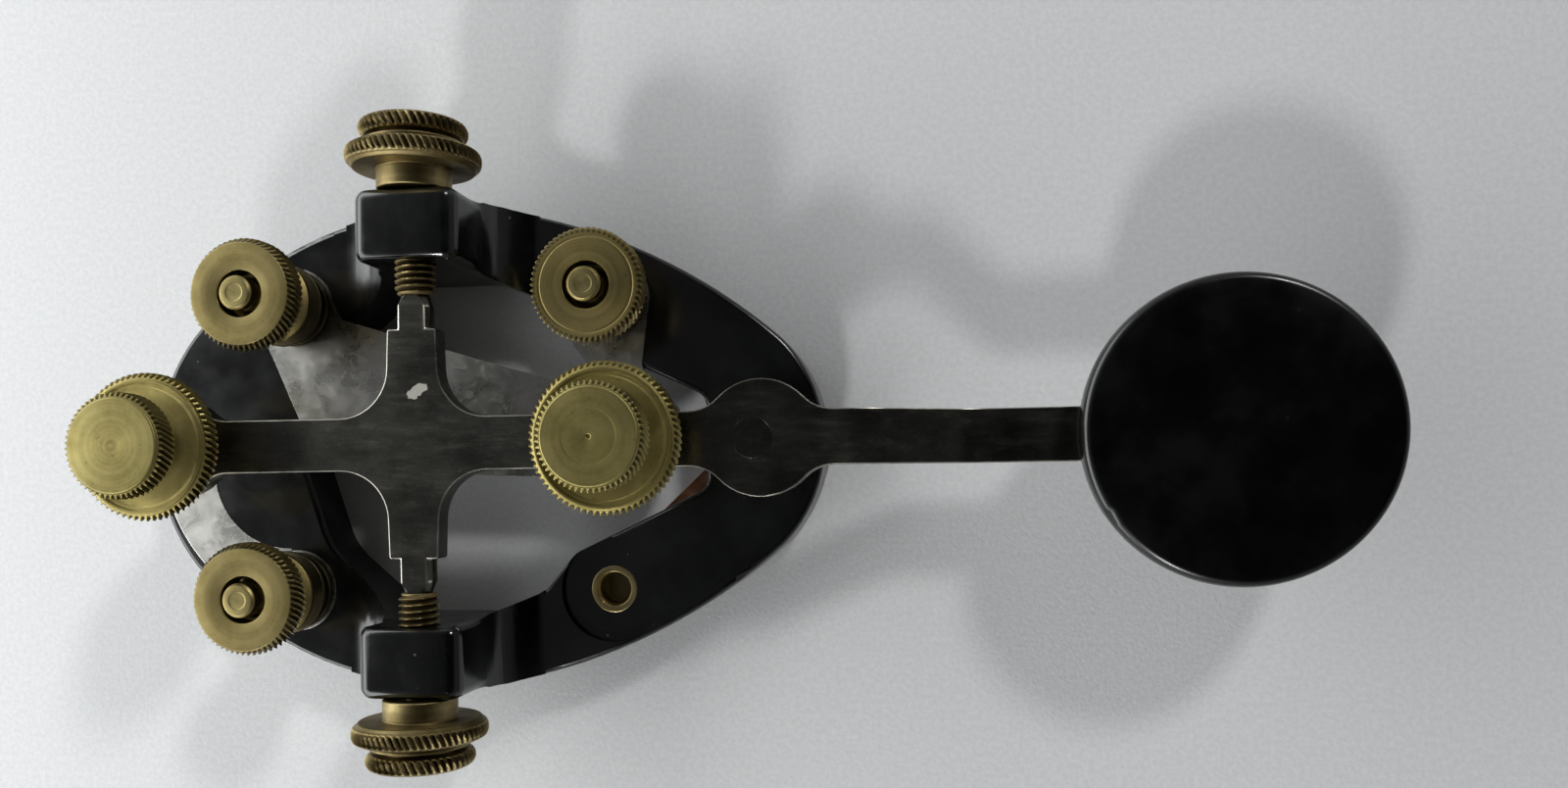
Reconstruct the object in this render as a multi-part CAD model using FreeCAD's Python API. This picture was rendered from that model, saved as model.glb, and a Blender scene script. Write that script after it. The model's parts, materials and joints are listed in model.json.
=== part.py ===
"""Straight telegraph key on a pear-shaped moulded frame.

A steel lever rocks on two cone-pointed stubs between knurled trunnion screws.  A knurled screw at
the tail sets the gap, a knurled screw ahead of the pivot sets the spring, and a flat knob sits on
the dropped front end of the lever.

All sizes are in millimetres.  The parts are drawn in the pivot frame: X runs towards the knob, Y to
the left, Z up from the underside of the frame, and X = 0, Y = 0 is below the middle of the lever's
pivot.  write_part() moves each part by PIVOT_X, so that the finished origin is on the surface that
the key stands on, below the middle of the whole key.
"""
import FreeCAD
import Part
import math
import os

Vector = FreeCAD.Vector

# ================================================================ driving dimensions
# frame
BASE_HEIGHT = 7.0
REAR_TIP_X = -41.3
NOSE_TIP_X = 48.5
REAR_CORNER = (-35.9, 15.2)
REAR_FLANK = (-23.0, 25.6)
REAR_SHOULDER = (-8.5, 30.3)
FRONT_SHOULDER = (8.0, 30.2)
FRONT_FLANK = (27.5, 23.6)
NOSE_CORNER = (43.2, 12.9)
BASE_EDGE_RADIUS = 0.7

BOSS_HALF_WIDTH = 6.4
BOSS_INNER_Y = 21.9
BOSS_OUTER_Y = 30.4
BOSS_EDGE_Z = 20.3
BOSS_CROWN_Z = 20.9
BOSS_CORNER_RADIUS = 1.8
BOSS_REAR_SKIRT = 7.6           # radius of the sweep from the boss down to the rail
BOSS_FRONT_SKIRT = 5.8

POST_X = 21.2
POST_Y = 18.5
RECESS_DEPTH = 0.8
RECESS_RADIUS = 6.65

# threads, drawn as plain bars of their outer radius
COARSE_THREAD_RADIUS = 2.413    # pivot, gap and spring screws
POST_THREAD_RADIUS = 2.083      # terminal studs, fixed contact and knob screw
THREAD_SEAT = 0.02              # a screwed-in stud that doesn't turn
RUNNING_FIT = 0.05              # a nut, cap or screw that turns
SEAT_GAP = 0.05                 # a turning face beside the face that it bears on

# straps and contacts
STRAP_THICKNESS = 0.9
STRAP_EYE_RADIUS = 5.25
STRAP_FLOOR_Z = BASE_HEIGHT - RECESS_DEPTH
STRAP_TOP_Z = STRAP_FLOOR_Z + STRAP_THICKNESS
REAR_STRAP_RIM = 1.0
LOWER_STRAP_THICKNESS = 0.8
LOWER_STRAP_Z = 0.15
LOWER_STRAP_TOP_Z = LOWER_STRAP_Z + LOWER_STRAP_THICKNESS
LOWER_STRAP_HALF_WIDTH = 3.6
LOWER_STRAP_MARGIN = 0.2
RIVET_SHANK_RADIUS = 1.2
ANVIL_RADIUS = 2.0
ANVIL_HEIGHT = 0.5

CONTACT_X = 41.0
CONTACT_GAP = 0.8
CONTACT_TIP_RADIUS = 1.7
CONTACT_RIVET_RADIUS = 2.4
LEVER_CONTACT_DROP = 1.2

# terminal posts
THUMB_NUT_HEIGHT = 6.9
THUMB_NUT_RADIUS = 6.9
THUMB_NUT_FACE_RADIUS = 6.25
THUMB_NUT_FOOT_RADIUS = 5.43
THUMB_NUT_COUNTERBORE = 2.85
REAR_NUT_TOP_Z = 19.6
FRONT_NUT_TOP_Z = 17.3
STUD_OVER_NUT = 1.0
COLLAR_RADIUS = 5.0
COLLAR_HEIGHT = 2.4
WASHER_RADIUS = 5.3
WASHER_THICKNESS = 0.6
INSERT_RADIUS = 3.0
INSERT_THREAD_RADIUS = 1.8
INSERT_FLOOR_Z = 0.3

# lever
PIVOT_Z = 16.9
LEVER_THICKNESS = 2.8
LEVER_TOP_Z = PIVOT_Z + LEVER_THICKNESS / 2
LEVER_BOTTOM_Z = PIVOT_Z - LEVER_THICKNESS / 2
LEVER_HALF_WIDTH = 3.2
ARM_TIP_HALF_WIDTH = 3.05
ARM_ROOT_HALF_WIDTH = 3.4
ARM_SHOULDER_Y = 13.75
ARM_FILLET = 6.0
GAP_SCREW_X = -30.9
SPRING_SCREW_X = 25.0
CONTACT_PAD_X = 42.0
CONTACT_PAD_RADIUS = 6.85
TAIL_PAD_RADIUS = 6.0
SPRING_PAD_RADIUS = 5.6
BEND_START_X = 54.0
BEND_END_X = 66.0
BEND_RADIUS = 7.0
STUB_RADIUS = 2.15
STUB_CONE_Y = 16.5
STUB_TIP_Y = 21.2
STUB_TIP_RADIUS = 0.15

# knob
KNOB_X = 95.95
KNOB_RADIUS = 17.65
KNOB_TOP_Z = 16.8
KNOB_THICKNESS = 4.6
KNOB_BOTTOM_Z = KNOB_TOP_Z - KNOB_THICKNESS
KNOB_SOCKET_Z = KNOB_TOP_Z - 1.2
KNOB_RELIEF = 0.5
KNOB_WASHER_THICKNESS = 0.5
FRONT_CENTRE_Z = KNOB_BOTTOM_Z - LEVER_THICKNESS / 2

# adjusting screws: heights of caps and lock nuts are above the lever's top face
LOCK_NUT_HUB_RADIUS = 5.0
LOCK_NUT_HUB_HEIGHT = 2.5
LOCK_NUT_HEIGHT = 6.0
LOCK_NUT_RADIUS = 8.8
LOCK_NUT_FACE_RADIUS = 8.15
LOCK_NUT_DISH_RADIUS = 7.6
LOCK_NUT_DISH_DEPTH = 1.0
SCREW_CAP_RADIUS = 6.15
SCREW_CAP_FACE_RADIUS = 5.41
SCREW_CAP_BOTTOM = 8.0
GAP_CAP_FACE = 10.85
SPRING_CAP_FACE = 11.3
SCREW_TOP = 9.7
GAP_SCREW_POINT_RADIUS = 1.7
GAP_SCREW_POINT_LENGTH = 1.0

# spring and its seat
SPRING_SHOULDER_Z = 13.0
SPRING_DOG_RADIUS = 1.45
SPRING_DOG_LENGTH = 1.8
SPRING_SEAT_HEIGHT = 1.3
SPRING_WIRE_RADIUS = 0.3
SPRING_MEAN_RADIUS = 1.95
SPRING_TURNS = 5

# trunnion screws: distances are along Y from the middle of the key
TRUNNION_TIP_Y = 17.87
TRUNNION_CUP_CLEARANCE = 0.06
TRUNNION_HUB_RADIUS = 4.4
TRUNNION_FLANGE_Y = 32.97
TRUNNION_FLANGE_END_Y = 35.6
TRUNNION_FLANGE_RADIUS = 7.95
TRUNNION_FLANGE_FACE_RADIUS = 7.1
TRUNNION_HEAD_Y = 35.75
TRUNNION_HEAD_END_Y = 38.8
TRUNNION_HEAD_RADIUS = 6.4

PIVOT_X = -(REAR_TIP_X + KNOB_X + KNOB_RADIUS) / 2

POSTS = {
    "rear_left": (-POST_X, POST_Y),
    "rear_right": (-POST_X, -POST_Y),
    "front_left": (POST_X, POST_Y),
}
BARE_INSERT = (POST_X, -POST_Y)


# ================================================================ drawing helpers
def point(xy, z=0.0):
    return Vector(xy[0], xy[1], z)


def mirrored(xy):
    return (xy[0], -xy[1])


def arc_edge(start, middle, end):
    return Part.Arc(point(start), point(middle), point(end)).toShape()


def line_edge(start, end):
    return Part.LineSegment(point(start), point(end)).toShape()


def disc(xy, radius):
    return Part.Face(Part.Wire(Part.makeCircle(radius, point(xy))))


def rounded_face(corners):
    """Flat face from (x, y, radius) corners, each rounded by an arc of its radius."""
    count = len(corners)
    joints = []
    for index, (x, y, radius) in enumerate(corners):
        here = Vector(x, y, 0)
        before = point(corners[index - 1]) - here
        after = point(corners[(index + 1) % count]) - here
        before.normalize()
        after.normalize()
        half_angle = before.getAngle(after) / 2
        reach = radius / math.tan(half_angle)
        bisector = before + after
        bisector.normalize()
        middle = here + bisector * (radius / math.sin(half_angle) - radius)
        joints.append((here + before * reach, middle, here + after * reach, radius))
    edges = []
    for index, (first, middle, last, radius) in enumerate(joints):
        if radius > 0:
            edges.append(Part.Arc(first, middle, last).toShape())
        following = joints[(index + 1) % count][0]
        if (following - last).Length > 1e-6:
            edges.append(Part.LineSegment(last, following).toShape())
    return Part.Face(Part.Wire(edges))


def prism(face, low, high):
    """Extrude a flat face drawn at Z = 0 from height low to height high."""
    solid = face.extrude(Vector(0, 0, high - low))
    solid.translate(Vector(0, 0, low))
    return solid


def joined_prism(faces, low, high):
    """One solid from several overlapping flat faces."""
    solid = prism(faces[0], low, high)
    for face in faces[1:]:
        solid = solid.fuse(prism(face, low, high))
    return solid.removeSplitter()


def round_bar(xy, radius, low, high):
    return Part.makeCylinder(radius, high - low, point(xy, low))


def turned(profile, xy=(0.0, 0.0)):
    """Turned piece about a vertical axis at xy, from (radius, height) points."""
    corners = [Vector(radius, 0, height) for radius, height in profile]
    face = Part.Face(Part.makePolygon(corners + corners[:1]))
    solid = face.revolve(Vector(0, 0, 0), Vector(0, 0, 1), 360)
    solid.translate(point(xy))
    return solid


def plain_ring(xy, bore, radius, low, high, chamfer):
    return turned([
        (bore, low),
        (radius - chamfer, low),
        (radius, low + chamfer),
        (radius, high - chamfer),
        (radius - chamfer, high),
        (bore, high),
    ], xy)


def laid_along_y(solid, side):
    """Turn a piece made along +Z so that it lies along Y on the pivot axis; side is +1 or -1."""
    solid.rotate(Vector(0, 0, 0), Vector(1, 0, 0), -90 * side)
    solid.translate(Vector(0, 0, PIVOT_Z))
    return solid


def write_part(name, shape):
    solid = shape.copy()
    solid.translate(Vector(PIVOT_X, 0, 0))
    if not solid.isValid() or len(solid.Solids) != 1:
        raise ValueError("bad solid: " + name)
    solid.exportStep("parts/" + name + ".step")
    print(name, round(solid.Volume, 2))


# ================================================================ straps
def common_strap_faces():
    """Strap that joins the two left-hand posts and carries the foot of the spring."""
    web = rounded_face([
        (-26.45, 16.8, 0.0),
        (-19.4, 0.8, 3.0),
        (-16.2, -2.9, 3.0),
        (26.0, -4.6, 4.0),
        (30.4, -1.0, 3.0),
        (30.4, 4.0, 3.0),
        (25.3, 9.4, 2.0),
        (26.4, 18.0, 0.0),
        (15.95, 18.0, 0.0),
        (16.4, 12.6, 1.0),
        (20.2, 8.2, 1.2),
        (17.8, 7.0, 1.0),
        (-14.7, 16.8, 0.8),
        (-16.3, 20.0, 0.0),
    ])
    return [web] + [disc(POSTS[name], STRAP_EYE_RADIUS) for name in ("rear_left", "front_left")]


def rear_strap_faces():
    """Crescent strap round the rear right rim, with a tongue under the gap screw."""
    rim_centre_x = -18.6
    rim = disc((rim_centre_x, 0.0), rim_centre_x - REAR_TIP_X - REAR_STRAP_RIM)
    quarter = rounded_face([(-42.0, 3.4, 0.0), (-42.0, -26.0, 0.0), (-22.0, -26.0, 0.0), (-22.0, 3.4, 0.0)])
    crescent = rim.common(quarter).cut(disc((-22.3, -2.6), 10.4))
    tongue = rounded_face([(-37.0, 2.9, 0.0), (-37.0, -2.9, 0.0), (-27.6, -2.9, 2.8), (-27.6, 2.9, 2.8)])
    return [crescent, tongue, disc(POSTS["rear_right"], STRAP_EYE_RADIUS)]


def lower_strap_face(margin=0.0):
    """Straight copper strap under the nose, from the fixed contact to the bare insert."""
    half_width = LOWER_STRAP_HALF_WIDTH + margin
    end_radius = half_width * 0.98
    along = point(BARE_INSERT) - Vector(CONTACT_X, 0, 0)
    reach = along.Length + half_width
    bar = rounded_face([
        (-half_width, half_width, end_radius),
        (-half_width, -half_width, end_radius),
        (reach, -half_width, end_radius),
        (reach, half_width, end_radius),
    ])
    bar.rotate(Vector(0, 0, 0), Vector(0, 0, 1), math.degrees(math.atan2(along.y, along.x)))
    bar.translate(Vector(CONTACT_X, 0, 0))
    return bar


def make_upper_strap(faces, holes):
    strap = joined_prism(faces, STRAP_FLOOR_Z, STRAP_TOP_Z)
    for place, radius in holes:
        strap = strap.cut(round_bar(place, radius, 0.0, BASE_HEIGHT + 1))
    return strap


def make_lower_strap():
    strap = prism(lower_strap_face(), LOWER_STRAP_Z, LOWER_STRAP_TOP_Z)
    strap = strap.cut(round_bar((CONTACT_X, 0.0), POST_THREAD_RADIUS, -1.0, LOWER_STRAP_TOP_Z + 1))
    return strap.cut(round_bar(BARE_INSERT, POST_THREAD_RADIUS + 0.2, -1.0, LOWER_STRAP_TOP_Z + 1))


def make_strap_rivet(x, head_radius, head_height):
    """Small rivet set through a strap: the foot of the spring, or the anvil under the gap screw."""
    edge = 0.15
    top = STRAP_TOP_Z + head_height
    return turned([
        (0, STRAP_FLOOR_Z + SEAT_GAP),
        (RIVET_SHANK_RADIUS, STRAP_FLOOR_Z + SEAT_GAP),
        (RIVET_SHANK_RADIUS, STRAP_TOP_Z),
        (head_radius, STRAP_TOP_Z),
        (head_radius, top - edge),
        (head_radius - edge, top),
        (0, top),
    ], (x, 0.0))


# ================================================================ frame
def frame_outline():
    upper = [
        arc_edge(REAR_CORNER, REAR_FLANK, REAR_SHOULDER),
        line_edge(REAR_SHOULDER, FRONT_SHOULDER),
        arc_edge(FRONT_SHOULDER, FRONT_FLANK, NOSE_CORNER),
    ]
    nose = arc_edge(NOSE_CORNER, (NOSE_TIP_X, 0.0), mirrored(NOSE_CORNER))
    lower = [
        arc_edge(mirrored(NOSE_CORNER), mirrored(FRONT_FLANK), mirrored(FRONT_SHOULDER)),
        line_edge(mirrored(FRONT_SHOULDER), mirrored(REAR_SHOULDER)),
        arc_edge(mirrored(REAR_SHOULDER), mirrored(REAR_FLANK), mirrored(REAR_CORNER)),
    ]
    rear = arc_edge(mirrored(REAR_CORNER), (REAR_TIP_X, 0.0), REAR_CORNER)
    return Part.Face(Part.Wire(upper + [nose] + lower + [rear]))


def opening_face():
    """The hole through the middle of the frame, under the lever."""
    left_half = [
        (-19.8, 3.2, 1.5),
        (-16.6, 13.0, 9.0),
        (-6.4, BOSS_INNER_Y, 5.0),
        (4.6, BOSS_INNER_Y, 6.0),
        (12.3, 18.7, 4.0),
        (16.2, 13.9, 4.0),
        (33.5, 5.8, 2.0),
    ]
    right_half = [(x, -y, radius) for x, y, radius in reversed(left_half)]
    return rounded_face(left_half + right_half)


def skirt_arc(side, radius):
    """Sweep from the rail's top up into an upright side of the boss; side is +1 or -1."""
    sag = radius * (1 - math.sqrt(0.5))
    foot = (side * (BOSS_HALF_WIDTH + radius), BASE_HEIGHT)
    middle = (side * (BOSS_HALF_WIDTH + sag), BASE_HEIGHT + sag)
    return arc_edge(foot, middle, (side * BOSS_HALF_WIDTH, BASE_HEIGHT + radius))


def boss_side_view():
    """Arched top on upright sides, which sweep out into the rail; drawn at Y = 0."""
    low = 1.0
    rear_foot_x = -BOSS_HALF_WIDTH - BOSS_REAR_SKIRT
    front_foot_x = BOSS_HALF_WIDTH + BOSS_FRONT_SKIRT
    rear_corner = (-BOSS_HALF_WIDTH, BOSS_EDGE_Z)
    front_corner = (BOSS_HALF_WIDTH, BOSS_EDGE_Z)
    edges = [
        line_edge((rear_foot_x, low), (rear_foot_x, BASE_HEIGHT)),
        skirt_arc(-1, BOSS_REAR_SKIRT),
        line_edge((-BOSS_HALF_WIDTH, BASE_HEIGHT + BOSS_REAR_SKIRT), rear_corner),
        arc_edge(rear_corner, (0.0, BOSS_CROWN_Z), front_corner),
        line_edge(front_corner, (BOSS_HALF_WIDTH, BASE_HEIGHT + BOSS_FRONT_SKIRT)),
        skirt_arc(1, BOSS_FRONT_SKIRT),
        line_edge((front_foot_x, BASE_HEIGHT), (front_foot_x, low)),
        line_edge((front_foot_x, low), (rear_foot_x, low)),
    ]
    face = Part.Face(Part.Wire(edges))
    face.rotate(Vector(0, 0, 0), Vector(1, 0, 0), 90)
    return face


def make_left_boss(ring):
    """Trunnion boss on the left rail, with the swept skirts that join it to the rail."""
    depth = BOSS_OUTER_Y - BOSS_INNER_Y
    block = Part.makeBox(2 * BOSS_HALF_WIDTH, depth, BOSS_CROWN_Z, Vector(-BOSS_HALF_WIDTH, BOSS_INNER_Y, 0))
    outer_corners = [edge for edge in block.Edges
                     if edge.BoundBox.ZLength > BOSS_EDGE_Z and edge.BoundBox.YMin > BOSS_INNER_Y + 1]
    block = block.makeFillet(BOSS_CORNER_RADIUS, outer_corners)
    side_view = boss_side_view()
    side_view.translate(Vector(0, BOSS_OUTER_Y, 0))
    sweep = side_view.extrude(Vector(0, -2 * depth, 0))
    return prism(ring, 0.0, BOSS_CROWN_Z).fuse(block).common(sweep)


def make_base_frame():
    ring = frame_outline().cut(opening_face())
    plate = prism(ring, 0.0, BASE_HEIGHT)
    top_edges = [edge for edge in plate.Edges if edge.BoundBox.ZMin > BASE_HEIGHT - 0.001]
    body = plate.makeFillet(BASE_EDGE_RADIUS, top_edges)
    boss = make_left_boss(ring)
    body = body.fuse(boss).fuse(boss.mirror(Vector(0, 0, 0), Vector(0, 1, 0))).removeSplitter()

    above = BASE_HEIGHT + 5
    tools = [
        joined_prism(common_strap_faces(), STRAP_FLOOR_Z, above),
        joined_prism(rear_strap_faces(), STRAP_FLOOR_Z, above),
    ]
    tools.append(prism(lower_strap_face(LOWER_STRAP_MARGIN), -1.0, LOWER_STRAP_TOP_Z))
    tools.append(round_bar(BARE_INSERT, RECESS_RADIUS, STRAP_FLOOR_Z, above))
    tools.append(round_bar(BARE_INSERT, INSERT_RADIUS, -1.0, above))
    tools.append(round_bar((CONTACT_X, 0.0), POST_THREAD_RADIUS, -1.0, above))
    for place in POSTS.values():
        tools.append(round_bar(place, INSERT_RADIUS, INSERT_FLOOR_Z, above))
    tools.append(Part.makeCylinder(COARSE_THREAD_RADIUS + RUNNING_FIT, 4 * BOSS_OUTER_Y,
                                   Vector(0, -2 * BOSS_OUTER_Y, PIVOT_Z), Vector(0, 1, 0)))
    for tool in tools:
        body = body.cut(tool)
    return body


# ================================================================ inserts, contacts and posts
def make_insert(place, low, bore):
    countersink = 0.35
    return turned([
        (bore, low),
        (INSERT_RADIUS, low),
        (INSERT_RADIUS, STRAP_FLOOR_Z),
        (bore + countersink, STRAP_FLOOR_Z),
        (bore, STRAP_FLOOR_Z - countersink),
    ], place)


def make_fixed_contact(tip_z):
    """Contact post: its stud goes down through the frame, and its collar narrows to the tip."""
    low = LOWER_STRAP_Z + 0.1
    collar_radius = 3.0
    neck_radius = 2.5
    return turned([
        (0, low),
        (POST_THREAD_RADIUS, low),
        (POST_THREAD_RADIUS, BASE_HEIGHT),
        (collar_radius, BASE_HEIGHT),
        (collar_radius, BASE_HEIGHT + 1.2),
        (neck_radius, BASE_HEIGHT + 1.6),
        (neck_radius, tip_z - 1.0),
        (CONTACT_TIP_RADIUS, tip_z - 0.8),
        (CONTACT_TIP_RADIUS, tip_z - 0.15),
        (CONTACT_TIP_RADIUS - 0.15, tip_z),
        (0, tip_z),
    ], (CONTACT_X, 0.0))


def make_stud(place, top_z):
    chamfer = 0.25
    low = INSERT_FLOOR_Z + SEAT_GAP
    return turned([
        (0, low),
        (POST_THREAD_RADIUS, low),
        (POST_THREAD_RADIUS, top_z - chamfer),
        (POST_THREAD_RADIUS - chamfer, top_z),
        (0, top_z),
    ], place)


def make_thumb_nut(place, top_z):
    """Knurled head on a waisted neck and a flared foot, with a counterbore round the stud."""
    bore = POST_THREAD_RADIUS + RUNNING_FIT
    foot_z = top_z - THUMB_NUT_HEIGHT
    return turned([
        (bore, foot_z),
        (THUMB_NUT_FOOT_RADIUS - 0.2, foot_z),
        (THUMB_NUT_FOOT_RADIUS, foot_z + 0.2),
        (THUMB_NUT_FOOT_RADIUS, foot_z + 0.6),
        (4.6, foot_z + 1.1),
        (4.05, foot_z + 1.7),
        (3.85, foot_z + 2.4),
        (4.1, foot_z + 3.1),
        (5.0, foot_z + 3.6),
        (THUMB_NUT_RADIUS - 0.3, foot_z + 3.7),
        (THUMB_NUT_RADIUS, foot_z + 4.0),
        (THUMB_NUT_RADIUS, top_z - 0.8),
        (THUMB_NUT_FACE_RADIUS, top_z),
        (THUMB_NUT_COUNTERBORE, top_z),
        (THUMB_NUT_COUNTERBORE, top_z - 2.4),
        (bore, top_z - 2.7),
    ], place)


# ================================================================ lever
def lever_plan():
    """Top view of the lever's bar and cross arms, without its round pads."""
    tip_x = KNOB_X + 6.0
    rear_left_arm = [
        (-ARM_ROOT_HALF_WIDTH, LEVER_HALF_WIDTH, ARM_FILLET),
        (-ARM_TIP_HALF_WIDTH, ARM_SHOULDER_Y, 0.3),
    ]
    front_left_arm = [(-x, y, radius) for x, y, radius in reversed(rear_left_arm)]
    left_side = [(GAP_SCREW_X, LEVER_HALF_WIDTH, 0.0)] + rear_left_arm + front_left_arm
    left_side.append((tip_x, LEVER_HALF_WIDTH, LEVER_HALF_WIDTH * 0.9))
    right_side = [(x, -y, radius) for x, y, radius in reversed(left_side)]
    return rounded_face(left_side + right_side)


def waisted_pad(x, radius, fillet):
    """Round pad on the lever, run into its straight sides by hollow fillets."""
    centre_y = LEVER_HALF_WIDTH + fillet
    run = math.sqrt((radius + fillet) ** 2 - centre_y ** 2)
    crossing_y = centre_y * radius / (radius + fillet)
    pad = rounded_face([(x - run, -crossing_y, 0.0), (x + run, -crossing_y, 0.0),
                        (x + run, crossing_y, 0.0), (x - run, crossing_y, 0.0)])
    for side_x in (-1, 1):
        for side_y in (-1, 1):
            pad = pad.cut(disc((x + side_x * run, side_y * centre_y), fillet))
    return pad.fuse(disc((x, 0.0), radius))


def lever_side_view():
    """Side view of the lever: level bar, a soft bend down, then level under the knob."""
    half = LEVER_THICKNESS / 2
    slope = math.atan2(PIVOT_Z - FRONT_CENTRE_Z, BEND_END_X - BEND_START_X)
    shift = half * math.tan(slope / 2)
    outer = BEND_RADIUS + LEVER_THICKNESS
    start_x = GAP_SCREW_X - 10.0
    end_x = KNOB_X + 8.0
    face = rounded_face([
        (start_x, PIVOT_Z - half, 0.0),
        (BEND_START_X - shift, PIVOT_Z - half, BEND_RADIUS),
        (BEND_END_X - shift, FRONT_CENTRE_Z - half, outer),
        (end_x, FRONT_CENTRE_Z - half, 0.0),
        (end_x, FRONT_CENTRE_Z + half, 0.0),
        (BEND_END_X + shift, FRONT_CENTRE_Z + half, BEND_RADIUS),
        (BEND_START_X + shift, PIVOT_Z + half, outer),
        (start_x, PIVOT_Z + half, 0.0),
    ])
    face.rotate(Vector(0, 0, 0), Vector(1, 0, 0), 90)
    return face


def make_pivot_stub(side):
    """Cone-pointed stub at the end of a cross arm, planed flat level with the lever."""
    root_y = ARM_SHOULDER_Y - 1.0
    stub = laid_along_y(turned([
        (0, root_y),
        (STUB_RADIUS, root_y),
        (STUB_RADIUS, STUB_CONE_Y),
        (STUB_TIP_RADIUS, STUB_TIP_Y),
        (0, STUB_TIP_Y),
    ]), side)
    reach = 2 * STUB_TIP_Y
    slab = Part.makeBox(reach, reach, LEVER_THICKNESS, Vector(-reach / 2, -reach / 2, LEVER_BOTTOM_Z))
    return stub.common(slab)


def make_lever():
    plan = lever_plan()
    for x, radius, fillet in ((GAP_SCREW_X, TAIL_PAD_RADIUS, 4.0),
                              (SPRING_SCREW_X, SPRING_PAD_RADIUS, 5.0),
                              (CONTACT_PAD_X, CONTACT_PAD_RADIUS, 5.0)):
        plan = plan.fuse(waisted_pad(x, radius, fillet))
    side_view = lever_side_view()
    side_view.translate(Vector(0, BOSS_OUTER_Y, 0))
    body = prism(plan, 0.0, LEVER_TOP_Z + 1).common(side_view.extrude(Vector(0, -2 * BOSS_OUTER_Y, 0)))
    for side in (1, -1):
        body = body.fuse(make_pivot_stub(side))
    body = body.removeSplitter()
    above = LEVER_TOP_Z + 1
    for x in (GAP_SCREW_X, SPRING_SCREW_X):
        body = body.cut(round_bar((x, 0.0), COARSE_THREAD_RADIUS + RUNNING_FIT, 0.0, above))
    body = body.cut(round_bar((CONTACT_X, 0.0), CONTACT_RIVET_RADIUS, LEVER_BOTTOM_Z + 1.0, above))
    body = body.cut(round_bar((CONTACT_X, 0.0), CONTACT_TIP_RADIUS, 0.0, above))
    return body.cut(round_bar((KNOB_X, 0.0), POST_THREAD_RADIUS + 0.1, 0.0, above))


def make_lever_contact(tip_z):
    """Contact rivet, flush with the top of the lever and standing out below it."""
    shoulder_z = LEVER_BOTTOM_Z + 1.0
    return turned([
        (0, tip_z),
        (CONTACT_TIP_RADIUS - 0.15, tip_z),
        (CONTACT_TIP_RADIUS, tip_z + 0.15),
        (CONTACT_TIP_RADIUS, shoulder_z),
        (CONTACT_RIVET_RADIUS, shoulder_z),
        (CONTACT_RIVET_RADIUS, LEVER_TOP_Z),
        (0, LEVER_TOP_Z),
    ], (CONTACT_X, 0.0))


# ================================================================ knob
def make_knob():
    """Flat round finger piece, relieved underneath between its hub and its rim."""
    hollow_z = KNOB_BOTTOM_Z + KNOB_RELIEF
    return turned([
        (INSERT_RADIUS, KNOB_BOTTOM_Z),
        (6.5, KNOB_BOTTOM_Z),
        (7.2, hollow_z),
        (14.6, hollow_z),
        (15.2, KNOB_BOTTOM_Z),
        (KNOB_RADIUS - 0.5, KNOB_BOTTOM_Z),
        (KNOB_RADIUS - 0.1, KNOB_BOTTOM_Z + 0.4),
        (KNOB_RADIUS, KNOB_TOP_Z - 0.9),
        (KNOB_RADIUS - 0.25, KNOB_TOP_Z - 0.3),
        (KNOB_RADIUS - 0.8, KNOB_TOP_Z),
        (0, KNOB_TOP_Z),
        (0, KNOB_SOCKET_Z),
        (INSERT_RADIUS, KNOB_SOCKET_Z),
    ], (KNOB_X, 0.0))


def make_knob_insert():
    """Blind threaded brass insert moulded into the knob."""
    bore = POST_THREAD_RADIUS + THREAD_SEAT
    return turned([
        (bore, KNOB_BOTTOM_Z),
        (INSERT_RADIUS, KNOB_BOTTOM_Z),
        (INSERT_RADIUS, KNOB_SOCKET_Z),
        (0, KNOB_SOCKET_Z),
        (0, KNOB_SOCKET_Z - 0.6),
        (bore, KNOB_SOCKET_Z - 0.6),
    ], (KNOB_X, 0.0))


def make_knob_screw(seat_z):
    """Round-headed slotted screw, put in from below with its head against seat_z."""
    top_z = KNOB_SOCKET_Z - 0.9
    screw = turned([
        (0, seat_z - 1.8),
        (2.2, seat_z - 1.6),
        (3.3, seat_z - 0.9),
        (3.6, seat_z),
        (POST_THREAD_RADIUS, seat_z),
        (POST_THREAD_RADIUS, top_z),
        (0, top_z),
    ], (KNOB_X, 0.0))
    slot_width = 0.9
    slot = Part.makeBox(slot_width, 9.0, 1.0, Vector(KNOB_X - slot_width / 2, -4.5, seat_z - 1.9))
    return screw.cut(slot)


# ================================================================ adjusting screws
def make_screw_shank(x, tip_z, point_radius, point_length):
    top_z = LEVER_TOP_Z + SCREW_TOP
    return turned([
        (0, tip_z),
        (point_radius, tip_z),
        (point_radius, tip_z + point_length),
        (COARSE_THREAD_RADIUS, tip_z + point_length),
        (COARSE_THREAD_RADIUS, top_z),
        (0, top_z),
    ], (x, 0.0))


def make_screw_cap(x, face):
    """Knurled cap that turns an adjusting screw; face is its height above the lever."""
    bottom = LEVER_TOP_Z + SCREW_CAP_BOTTOM
    top = LEVER_TOP_Z + face
    bore = COARSE_THREAD_RADIUS + RUNNING_FIT
    socket_z = LEVER_TOP_Z + SCREW_TOP + SEAT_GAP
    neck_radius = 3.4
    return turned([
        (bore, bottom - 0.9),
        (neck_radius, bottom - 0.9),
        (neck_radius, bottom),
        (SCREW_CAP_RADIUS - 0.3, bottom),
        (SCREW_CAP_RADIUS, bottom + 0.3),
        (SCREW_CAP_RADIUS, top - 0.45),
        (SCREW_CAP_FACE_RADIUS + 0.1, top - 0.3),
        (SCREW_CAP_FACE_RADIUS, top),
        (0, top),
        (0, socket_z),
        (bore, socket_z),
    ], (x, 0.0))


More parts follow.
